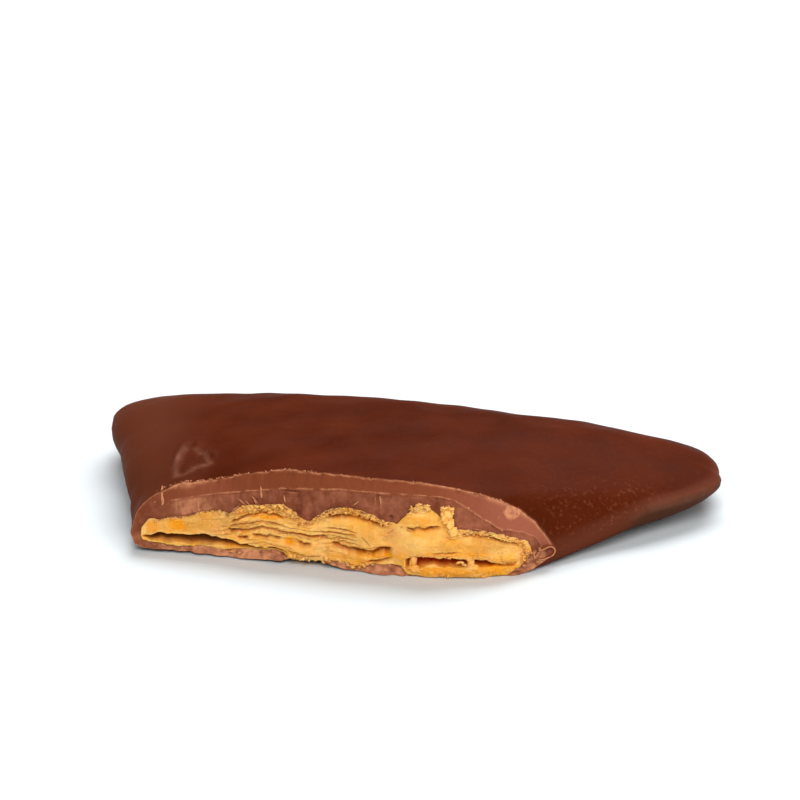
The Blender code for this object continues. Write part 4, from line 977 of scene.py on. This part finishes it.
def buildFillingCrumbs(material):
    # Heaps along lines over the face, chips along others, dust all over the front, and a few larger lumps
    random = np.random.default_rng(fillingBits["seed"])
    centres, radii, light = [], [], []
    for line, count, (least, most), out, bright in fillingBits["heaps"]:
        x, z = np.array(line).T
        scatter = 0.35 * most
        centres.append(along3(onFace(x, z, out), count, random, (scatter, scatter * 0.8, scatter)))
        size = random.uniform(least, most, (count, 1))
        radii.append(size * random.uniform(0.35, 1.15, (count, 3)) * (1.35, 0.85, 0.60))
        light.append(bright + random.uniform(-0.3, 0.2, count))
    for line, count, (least, most), out in fillingBits["chips"]:
        x, z = np.array(line).T
        centres.append(along3(onFace(x, z, out), count, random, (0.1, 0.06, 0.10)))
        size = random.uniform(least, most, (count, 1))
        flat = [random.uniform(low, high, count) for low, high in ((0.7, 1.2), (0.5, 1.0), (0.16, 0.34))]
        radii.append(size * np.stack(flat, -1))
        light.append(random.uniform(0.35, 1.0, count))
    x = random.uniform(-27.8, 10.8, fillingBits["dust"])
    share = random.uniform(0.02, 0.98, len(x))
    low = np.maximum(lineOf("hollowTop", x) + 0.1, along("lip", x) + 0.1)
    z = low + (along("roof", x) - 0.05 - low) * share
    surface = faceLine(x) + filling["stand"] + fillingRelief(x, z)[0]
    centres.append(np.stack([x, surface - 0.01, z], axis=-1))
    size = random.uniform(*fillingBits["dustSize"], (len(x), 1))
    radii.append(size * random.uniform(0.5, 1.3, (len(x), 3)))
    light.append(random.uniform(0.3, 1.0, len(x)))
    small = lumps(np.concatenate(centres), np.concatenate(radii), 301, crumbGrid, 0.75, 1.5, 0.32)
    across, up, wide, thick, tall, out, bright = np.array(fillingBits["lumps"]).T
    large = lumps(onFace(across, up, out), np.stack([wide, thick, tall], -1), 303, lumpGrid, 0.32, 1.5, 0.12)
    shade = np.concatenate([overEach(unit(np.concatenate(light)), small), overEach(bright, large)])
    dark = 1.0 - shade
    attributes = tints(fillingTints, shade, raised=shade, orange=0.55 * dark, rim=0.6 * dark)
    return makePiece("fillingCrumbs", [small, large], material, attributes)


# Crumbs and shavings of chocolate on the break
chocolateBits = {
    "seed": 23,
    # crumbs along the outer edge, ridge, lip and roof: from, to, count, sizes, depth, height and lightness
    "heaps": (
        ("topEdge", -26.8, -20.0, 46, (0.03, 0.10), 2.45, 0.0, 0.7),
        ("topEdge", -20.0, -9.0, 44, (0.03, 0.10), 2.5, 0.0, 0.7),
        ("topEdge", -9.0, 4.0, 40, (0.02, 0.07), 2.5, 0.0, 0.7),
        ("topEdge", 4.0, 13.0, 70, (0.03, 0.09), 2.2, 0.0, 0.8),
        ("ridge", -27.0, -8.0, 22, (0.03, 0.06), 0.72, 0.0, 0.7),
        ("ridge", -8.0, 4.0, 12, (0.03, 0.06), 0.72, 0.0, 0.7),
        ("ridge", 4.0, 10.6, 40, (0.03, 0.08), 0.72, 0.0, 0.7),
        ("lip", -27.0, -13.0, 36, (0.04, 0.12), 0.25, -0.2, 0.7),
        ("roof", -26.5, -19.3, 60, (0.03, 0.09), 0.12, 0.03, 0.15),
        ("roof", -19.3, -10.0, 54, (0.03, 0.10), -0.12, 0.0, 0.45),
        ("roof", -10.0, -2.4, 50, (0.03, 0.09), -0.10, 0.0, 0.35),
        ("roof", 4.2, 10.8, 34, (0.03, 0.08), 0.10, 0.0, 0.5),
    ),
    # thin shavings: from and to over the face, half width and how far they stand out of the break
    "slivers": (
        (-26.1, 6.35, -26.0, 5.1, 0.16, 0.08), (-15.8, 7.75, -15.75, 6.75, 0.13, 0.06),
        (-16.6, 6.75, -16.1, 6.1, 0.10, 0.2), (-18.1, 6.4, -17.3, 5.8, 0.09, 0.1),
        (-5.8, 7.45, -6.4, 7.0, 0.10, 0.08), (-3.7, 8.1, -3.6, 7.3, 0.08, 0.06),
        (-18.8, 5.2, -18.0, 5.7, 0.11, 0.2), (-22.3, 5.7, -22.2, 4.8, 0.10, 0.06),
        (-13.4, 7.2, -13.3, 6.5, 0.08, 0.05), (-16.3, 6.2, -16.5, 6.7, 0.09, 0.35),
        (-16.9, 5.9, -17.3, 6.3, 0.07, 0.3), (-14.1, 6.1, -14.4, 6.4, 0.07, 0.3),
        (-3.0, 4.6, -2.4, 5.0, 0.08, 0.6), (-3.3, 4.3, -2.9, 4.2, 0.07, 0.6),
        (5.6, 5.3, 6.4, 5.15, 0.07, 0.3),
    ),
    # larger bits at the right end: across, up, half width, half depth, half height, how far out
    "larger": (
        (11.75, 1.80, 0.18, 0.25, 0.60, 0.15), (11.50, 2.15, 0.22, 0.20, 0.16, 0.15),
        (12.35, 2.30, 0.16, 0.20, 0.30, 0.0), (12.10, 1.05, 0.26, 0.25, 0.18, 0.1),
        (11.10, 1.35, 0.16, 0.20, 0.35, 0.1), (10.95, 2.25, 0.12, 0.20, 0.30, 0.1),
        (10.75, 0.95, 0.30, 0.20, 0.16, 0.0), (10.20, 0.60, 0.35, 0.20, 0.14, 0.0),
        (11.35, 1.55, 0.10, 0.20, 0.26, 0.15),
    ),
}


def breakDepth(x, z):
    # How far the break lies behind its front plane: even steps from mouth to ridge, and on to the outer edge
    roof, ridge, edge = along("roof", x), along("ridge", x), along("topEdge", x)
    onWall = unit((z - roof) / np.maximum(ridge - roof, 0.1))
    onFacet = unit((z - ridge) / np.maximum(edge - ridge, 0.1))
    wall = coating["mouthOut"] + (coating["ridgeOut"] - coating["mouthOut"]) * onWall
    return wall + (coating["facetLean"] - coating["ridgeOut"]) * onFacet


def buildChocolateCrumbs(material):
    # Crumbs at random along the break's edges, larger bits at its right end, and slivers that lie on it
    random = np.random.default_rng(chocolateBits["seed"])
    centres, radii, light = [], [], []
    for name, low, high, count, (least, most), behind, up, bright in chocolateBits["heaps"]:
        x = random.uniform(low, high, count)
        z = along(name, x) + up + random.normal(0.0, 0.03, count)
        y = faceLine(x) + behind + random.normal(0.0, 0.05, count)
        centres.append(np.stack([x, y, z], axis=-1))
        size = random.uniform(least, most, (count, 1))
        long = random.uniform(0.9, 2.2, count)
        radii.append(size * np.stack([long, np.ones(count), random.uniform(0.5, 0.9, count)], -1))
        light.append(bright + random.uniform(-0.25, 0.25, count))
    across, up, wide, thick, tall, out = np.array(chocolateBits["larger"]).T
    centres.append(onFace(across, up, out))
    radii.append(np.stack([wide, thick, tall], -1))
    light.append(random.uniform(0.3, 0.9, len(across)))
    small = lumps(np.concatenate(centres), np.concatenate(radii), 311, crumbGrid, 0.4, 1.7, 0.5)

    # Slivers are lumps stretched upwards, then leant sideways
    x0, z0, x1, z1, half, out = np.array(chocolateBits["slivers"]).T
    long = np.abs(z1 - z0) / 2.0
    middle = onFace((x0 + x1) / 2.0, (z0 + z1) / 2.0, out)
    lean = (breakDepth(x0, z0) - breakDepth(x1, z1)) / 2.0
    middle[:, 1] = faceLine(middle[:, 0]) + (breakDepth(x0, z0) + breakDepth(x1, z1)) / 2.0 - out
    thin = lumps(middle, np.stack([half, half, long], -1), 313, sliverGrid, 0.35, 1.6, 0.04)
    sign, stack = np.sign(z1 - z0), (slice(None), None, None)
    upwards = (thin[..., 2] - middle[:, 2][stack]) / long[stack]
    thin[..., 0] += upwards * ((x1 - x0) * sign / 2.0)[stack]
    thin[..., 1] -= upwards * (lean * sign)[stack]
    shades = [overEach(unit(np.concatenate(light)), small), overEach(np.full(len(thin), 0.9), thin)]
    shade = np.concatenate(shades)
    attributes = tints(chocolateTints, shade, fresh=1.0, pale=shade, tone=0.6)
    return makePiece("chocolateCrumbs", [small, thin], material, attributes)


# A curled shaving that hangs at the right end of the break, like a small open cup lying on its side
curl = {
    "centre": (12.95, 1.72), "wide": 1.05, "tall": 0.66, "tilt": 0.32,
    "out": 0.35, "deep": 1.5, "thick": 0.15, "rows": 46, "steps": 64,
}


def buildCurl(material):
    # A profile turned round an ellipse: out along the wall, over the ragged rim, and back down inside
    t = np.linspace(0.0, 1.0, curl["rows"])[:, None]
    turn = np.linspace(0.0, 2.0 * np.pi, curl["steps"] + 1)[None, :]
    outside = smoothStep(t / 0.45)
    inside = smoothStep((t - 0.5) / 0.5)
    # Share of the ellipse at each row: from the middle at the back to the rim, then in to the middle again
    share = np.sqrt(unit(1.0 - (1.0 - unit(t / 0.3)) ** 2))
    share = share * np.sqrt(unit(1.0 - unit((t - 0.7) / 0.3) ** 2))
    wallIn = curl["thick"] * smoothStep((t - 0.46) / 0.08)
    rim = 0.16 * roughNoise(np.cos(turn) * 1.4, np.sin(turn) * 1.4, 0.0, 401, 3)
    rim = rim - 0.35 * unit(-np.cos(turn - 0.9))
    forward = outside * (1.0 - inside * 0.55)
    bend = 1.0 + 0.10 * noise(np.cos(turn) * 1.3, np.sin(turn) * 1.3, t * 2.0, 402)
    wide = (curl["wide"] * bend - wallIn) * share
    tall = (curl["tall"] * bend - wallIn) * share
    across, up = wide * np.cos(turn), tall * np.sin(turn)
    cosTilt, sinTilt = math.cos(curl["tilt"]), math.sin(curl["tilt"])
    x = curl["centre"][0] + across * cosTilt - up * sinTilt
    z = curl["centre"][1] + across * sinTilt + up * cosTilt
    front = faceLine(np.array(curl["centre"][0])) - curl["out"]
    y = front + curl["deep"] * (1.0 - forward) - rim * forward + 0.35 * across
    points = np.stack([x, y, z], axis=-1)
    # The inside of the cup gets painted light against the shade that falls in it; its outside keeps the facet
    # colour with its painted shade
    pale, light = 0.8 * bell(t - 0.5, 0.05), 0.9 * inside
    attributes = tints(chocolateTints, x, fresh=1.0, pale=pale, facet=1.0, light=light)
    return makePiece("curledShaving", [points], material, attributes)


def newMaterial(name):
    # A new material with its node tree and its Principled shader
    material = bpy.data.materials.new(name)
    material.use_nodes = True
    tree = material.node_tree
    shader = tree.nodes["Principled BSDF"]
    return material, tree, shader


def addNode(tree, kind, settings=None, **values):
    # A node with its settings, and with the values of its named sockets
    node = tree.nodes.new(kind)
    for key, value in (settings or {}).items():
        setattr(node, key, value)
    for key, value in values.items():
        node.inputs[key].default_value = value
    return node


def setSockets(shader, values):
    # Uniform values on the shader's own sockets
    for key, value in values.items():
        shader.inputs[key].default_value = value


def noiseNode(tree, coordinates, scale, detail=3.0, roughness=0.55):
    # Cloudy noise over the coordinates, from 0 to 1
    node = addNode(tree, "ShaderNodeTexNoise", Scale=scale, Detail=detail, Roughness=roughness)
    tree.links.new(coordinates, node.inputs["Vector"])
    return node.outputs["Fac"]


def attributeOf(tree, name):
    # The value that the mesh carries at its points under this name
    node = addNode(tree, "ShaderNodeAttribute", {"attribute_name": name})
    return node.outputs["Fac"]


def mathNode(tree, kind, first, second, clamp=False):
    # Two numbers or sockets added or multiplied
    node = addNode(tree, "ShaderNodeMath", {"operation": kind, "use_clamp": clamp})
    for socket, value in zip(node.inputs, (first, second)):
        if isinstance(value, (int, float)):
            socket.default_value = value
        else:
            tree.links.new(value, socket)
    return node.outputs[0]


def ranged(tree, value, low, high, toLow=0.0, toHigh=1.0):
    # A value from low to high, stretched evenly to another range and kept inside it
    node = addNode(tree, "ShaderNodeMapRange", {"clamp": True})
    tree.links.new(value, node.inputs["Value"])
    for key, number in (("From Min", low), ("From Max", high), ("To Min", toLow), ("To Max", toHigh)):
        node.inputs[key].default_value = number
    return node.outputs["Result"]


def mixColour(tree, share, first, second):
    # The first colour turned towards the second by a share from a socket
    node = addNode(tree, "ShaderNodeMix", {"data_type": "RGBA"})
    sockets = [s for s in node.inputs if s.type == "RGBA"]
    for socket, value in zip(sockets, (first, second)):
        if isinstance(value, tuple):
            socket.default_value = (*value, 1.0)
        else:
            tree.links.new(value, socket)
    tree.links.new(share, node.inputs["Factor"])
    return [s for s in node.outputs if s.type == "RGBA"][0]


def tinted(tree, colour, name, share, tint):
    # The colour turned towards a tint by one of the mesh's values times a share
    return mixColour(tree, mathNode(tree, "MULTIPLY", attributeOf(tree, name), share), colour, tint)


def bumped(tree, shader, height, strength):
    # A height map that tilts the shader's normal: the finest grain only
    bump = addNode(tree, "ShaderNodeBump", Strength=strength, Distance=0.00006)
    tree.links.new(height, bump.inputs["Height"])
    tree.links.new(bump.outputs["Normal"], shader.inputs["Normal"])


chocolateLook = {
    # Skin colours: sideSkin is painted light on the sides, leftSkin painted sheen and light on the left wing,
    # underSkin painted shade below the pinched edge, foldSkin painted highlight along the creases
    "skin": (0.064, 0.009, 0.002), "skinLight": (0.094, 0.015, 0.004), "sideSkin": (0.108, 0.026, 0.012),
    "leftSkin": (0.118, 0.030, 0.014), "underSkin": (0.062, 0.027, 0.0150), "foldSkin": (0.210, 0.078, 0.045),
    "speck": (0.260, 0.085, 0.040), "shine": 0.004,
    # The slanted facet's colours: a darker one with painted shade, as if a piece above shaded it, and a
    # lighter one with painted light for its lit ends
    "facet": (0.200, 0.050, 0.020), "facetLight": (0.350, 0.106, 0.060),
    "wall": (0.330, 0.108, 0.058), "wallDark": (0.175, 0.046, 0.020), "pale": (0.640, 0.270, 0.130),
    "skinRoughness": (0.38, 0.52), "breakRoughness": 0.62, "subsurface": 0.10, "subsurfaceScale": 0.0006,
}


def makeChocolate():
    # Dark satin skin, a lighter grainy break, and pale crumbly edges where the piece says so
    look = chocolateLook
    material, tree, shader = newMaterial("milkChocolate")
    place = addNode(tree, "ShaderNodeTexCoord").outputs["Object"]
    fresh = attributeOf(tree, "fresh")
    cloud = noiseNode(tree, place, 130.0)
    grain = noiseNode(tree, place, 1500.0)
    fine = noiseNode(tree, place, 6000.0, 2.0)
    patch = noiseNode(tree, place, 520.0, 4.0, 0.65)

    # The break: mottled wall, slanted facet with painted shade and painted light
    mottled = mathNode(tree, "MULTIPLY", patch, 0.6)
    mottled = mathNode(tree, "ADD", mottled, mathNode(tree, "MULTIPLY", grain, 0.4))
    # The tone carries painted light and shade of the flat breaks as well as their own tone
    toned = mathNode(tree, "ADD", mottled, ranged(tree, attributeOf(tree, "tone"), 0.0, 1.0, -0.09, 0.09))
    wall = mixColour(tree, ranged(tree, toned, 0.36, 0.64), look["wallDark"], look["wall"])
    # Painted shade on the slanted facet, turned to painted light where the light value is high
    cut = mixColour(tree, attributeOf(tree, "light"), look["facet"], look["facetLight"])
    broken = mixColour(tree, attributeOf(tree, "facet"), wall, cut)

    # The skin: painted light on the sides, specks, painted sheen and light on the left wing, painted shade on
    # the side below the pinched edge, and painted highlights along the creases
    skin = mixColour(tree, ranged(tree, cloud, 0.35, 0.7), look["skin"], look["skinLight"])
    # Painted light: the sides lighter than the top
    skin = mixColour(tree, attributeOf(tree, "side"), skin, look["sideSkin"])
    specks = ranged(tree, noiseNode(tree, place, 1900.0, 2.0, 0.7), 0.54, 0.70)
    specks = mathNode(tree, "MULTIPLY", specks, 0.30)
    specks = mathNode(tree, "MULTIPLY", specks, ranged(tree, attributeOf(tree, "rub"), 0.0, 1.0, 0.15, 1.0))
    skin = mixColour(tree, specks, skin, look["speck"])
    # Painted sheen and light on the left wing
    skin = tinted(tree, skin, "leftSide", 0.8, look["leftSkin"])
    # Painted shade on the side below the pinched edge
    skin = tinted(tree, skin, "under", 0.75, look["underSkin"])
    # Painted highlights along the creases and the pinched edge, broken up by the patch noise
    folded = mathNode(tree, "MULTIPLY", attributeOf(tree, "fold"), ranged(tree, patch, 0.3, 0.6, 0.25, 0.8))
    skin = mixColour(tree, folded, skin, look["foldSkin"])

    colour = mixColour(tree, fresh, skin, broken)
    worn = ranged(tree, grain, 0.30, 0.55, 0.35, 1.0)
    paleShare = mathNode(tree, "MULTIPLY", attributeOf(tree, "pale"), worn, True)
    colour = mixColour(tree, paleShare, colour, look["pale"])
    tree.links.new(colour, shader.inputs["Base Color"])
    rough = addNode(tree, "ShaderNodeMix", {"data_type": "FLOAT"})
    tree.links.new(fresh, rough.inputs[0])
    tree.links.new(ranged(tree, cloud, 0.3, 0.7, *look["skinRoughness"]), rough.inputs[2])
    rough.inputs[3].default_value = look["breakRoughness"]
    tree.links.new(rough.outputs[0], shader.inputs["Roughness"])
    setSockets(shader, {
        "Subsurface Weight": look["subsurface"], "Subsurface Radius": (1.0, 0.35, 0.18),
        "Subsurface Scale": look["subsurfaceScale"], "Specular IOR Level": look["shine"],
    })
    height = mathNode(tree, "MULTIPLY", fine, ranged(tree, fresh, 0.0, 1.0, 0.12, 1.0))
    coarse = mathNode(tree, "MULTIPLY", grain, ranged(tree, fresh, 0.0, 1.0, 0.15, 1.2))
    bumped(tree, shader, mathNode(tree, "ADD", height, coarse), 0.5)
    return material


fillingLook = {
    "pale": (0.930, 0.545, 0.165), "golden": (0.870, 0.390, 0.035), "orange": (0.840, 0.310, 0.002),
    # deep, dim and seam are painted shade: deep in the hollows, on the left hollow's floor, and in the
    # grooves
    "deep": (0.700, 0.095, 0.003), "dim": (0.270, 0.105, 0.018), "seam": (0.420, 0.085, 0.002),
    "rim": (0.780, 0.355, 0.105), "dull": (0.640, 0.290, 0.050),
    "roughness": (0.55, 0.46), "shine": 0.13, "subsurfaceScale": 0.0005,
}


def makeFlakes(name, subsurface):
    # Pale crumbly edges with painted highlights over golden layers, glassy orange patches, and darker orange
    # painted shade deep in the hollows and in the grooves
    look = fillingLook
    material, tree, shader = newMaterial(name)
    place = addNode(tree, "ShaderNodeTexCoord").outputs["Object"]
    orange = attributeOf(tree, "orange")
    cloud = noiseNode(tree, place, 420.0)
    grain = noiseNode(tree, place, 2600.0)
    colour = mixColour(tree, ranged(tree, cloud, 0.35, 0.65), look["golden"], look["pale"])
    colour = tinted(tree, colour, "dull", 0.75, look["dull"])
    colour = mixColour(tree, orange, colour, look["orange"])
    # Pale on raised places: partly the crumbly edges' colour, partly painted highlight
    raised = ranged(tree, attributeOf(tree, "raised"), 0.0, 1.0)
    lift = mathNode(tree, "MULTIPLY", raised, ranged(tree, grain, 0.3, 0.6, 0.4, 1.0))
    colour = mixColour(tree, mathNode(tree, "MULTIPLY", lift, 0.8), colour, look["pale"])
    # Crumbly rims, then painted shade in the grooves, deep in the hollows and on the left hollow's floor
    for key, share in (("rim", 0.7), ("seam", 0.85), ("sunk", 0.9), ("dim", 0.85)):
        colour = tinted(tree, colour, key, share, look["deep" if key == "sunk" else key])
    tree.links.new(colour, shader.inputs["Base Color"])
    tree.links.new(ranged(tree, orange, 0.2, 1.0, *look["roughness"]), shader.inputs["Roughness"])
    setSockets(shader, {
        "Subsurface Weight": subsurface, "Subsurface Radius": (1.0, 0.55, 0.18),
        "Subsurface Scale": look["subsurfaceScale"], "Specular IOR Level": look["shine"],
    })
    fine = noiseNode(tree, place, 9000.0, 2.0)
    bumped(tree, shader, mathNode(tree, "ADD", mathNode(tree, "MULTIPLY", grain, 1.2), fine), 0.6)
    return material


chocolateMaterial = makeChocolate()
flakesMaterial = makeFlakes("goldenFlakes", 0.5)
crumbsMaterial = makeFlakes("goldenCrumbs", 0.0)  # crumbs as small as these let no light through
print("materials made")

buildCoating(chocolateMaterial)
buildFilling(flakesMaterial)
buildLeaves(flakesMaterial)
buildFillingCrumbs(crumbsMaterial)
buildChocolateCrumbs(chocolateMaterial)
buildCurl(chocolateMaterial)


# Floor, light and camera
studio = {
    "floor": (0.738, 0.785, 0.805), "floorSize": 6.0,
    "world": (1.0, 1.0, 1.0), "worldStrength": 0.09,
    # where each soft light comes from, how wide it looks in degrees, and its strength
    "lights": (
        ((0.20, 0.78, 0.96), 46.0, 3.6), ((-0.12, -1.0, 0.80), 36.0, 2.1), ((1.0, -0.75, 0.36), 48.0, 1.05),
    ),
}
view = {"place": (-0.0009293, -0.3075405, 0.0999939), "pitch": 74.0, "lens": 135.0, "sensor": 36.0}


def buildStudio():
    # A pale floor, a plain world, three soft lights that aim at the origin, and the camera
    mesh = bpy.data.meshes.new("floor")
    half = studio["floorSize"] / 2.0
    corners = [(-half, -half, 0.0), (half, -half, 0.0), (half, half, 0.0), (-half, half, 0.0)]
    mesh.from_pydata(corners, [], [(0, 1, 2, 3)])
    floor = bpy.data.objects.new("floor", mesh)
    material, tree, shader = newMaterial("floorPaper")
    place = addNode(tree, "ShaderNodeTexCoord").outputs["Object"]
    darker = tuple(c * 0.985 for c in studio["floor"])
    shade = mixColour(tree, ranged(tree, noiseNode(tree, place, 4.0), 0.3, 0.7), studio["floor"], darker)
    tree.links.new(shade, shader.inputs["Base Color"])
    setSockets(shader, {"Roughness": 0.9, "Specular IOR Level": 0.1})
    mesh.materials.append(material)
    bpy.context.scene.collection.objects.link(floor)
    world = bpy.data.worlds.new("studio")
    bpy.context.scene.world = world
    world.use_nodes = True
    background = world.node_tree.nodes["Background"]
    background.inputs["Color"].default_value = (*studio["world"], 1.0)
    background.inputs["Strength"].default_value = studio["worldStrength"]
    for index, (place, width, strength) in enumerate(studio["lights"]):
        data = bpy.data.lights.new(f"softLight{index}", "SUN")
        data.angle = math.radians(width)
        data.energy = strength
        lamp = bpy.data.objects.new(f"softLight{index}", data)
        lamp.location = place
        across = math.hypot(place[0], place[1])
        lamp.rotation_euler = (math.atan2(across, place[2]), 0.0, math.atan2(place[0], -place[1]))
        bpy.context.scene.collection.objects.link(lamp)
    data = bpy.data.cameras.new("camera")
    data.lens = view["lens"]
    data.sensor_width = view["sensor"]
    data.clip_start = 0.01
    camera = bpy.data.objects.new("camera", data)
    camera.location = view["place"]
    camera.rotation_euler = (math.radians(view["pitch"]), 0.0, 0.0)
    bpy.context.scene.collection.objects.link(camera)
    bpy.context.scene.camera = camera
    bpy.context.scene.view_settings.view_transform = "Standard"


buildStudio()
print("studio made")
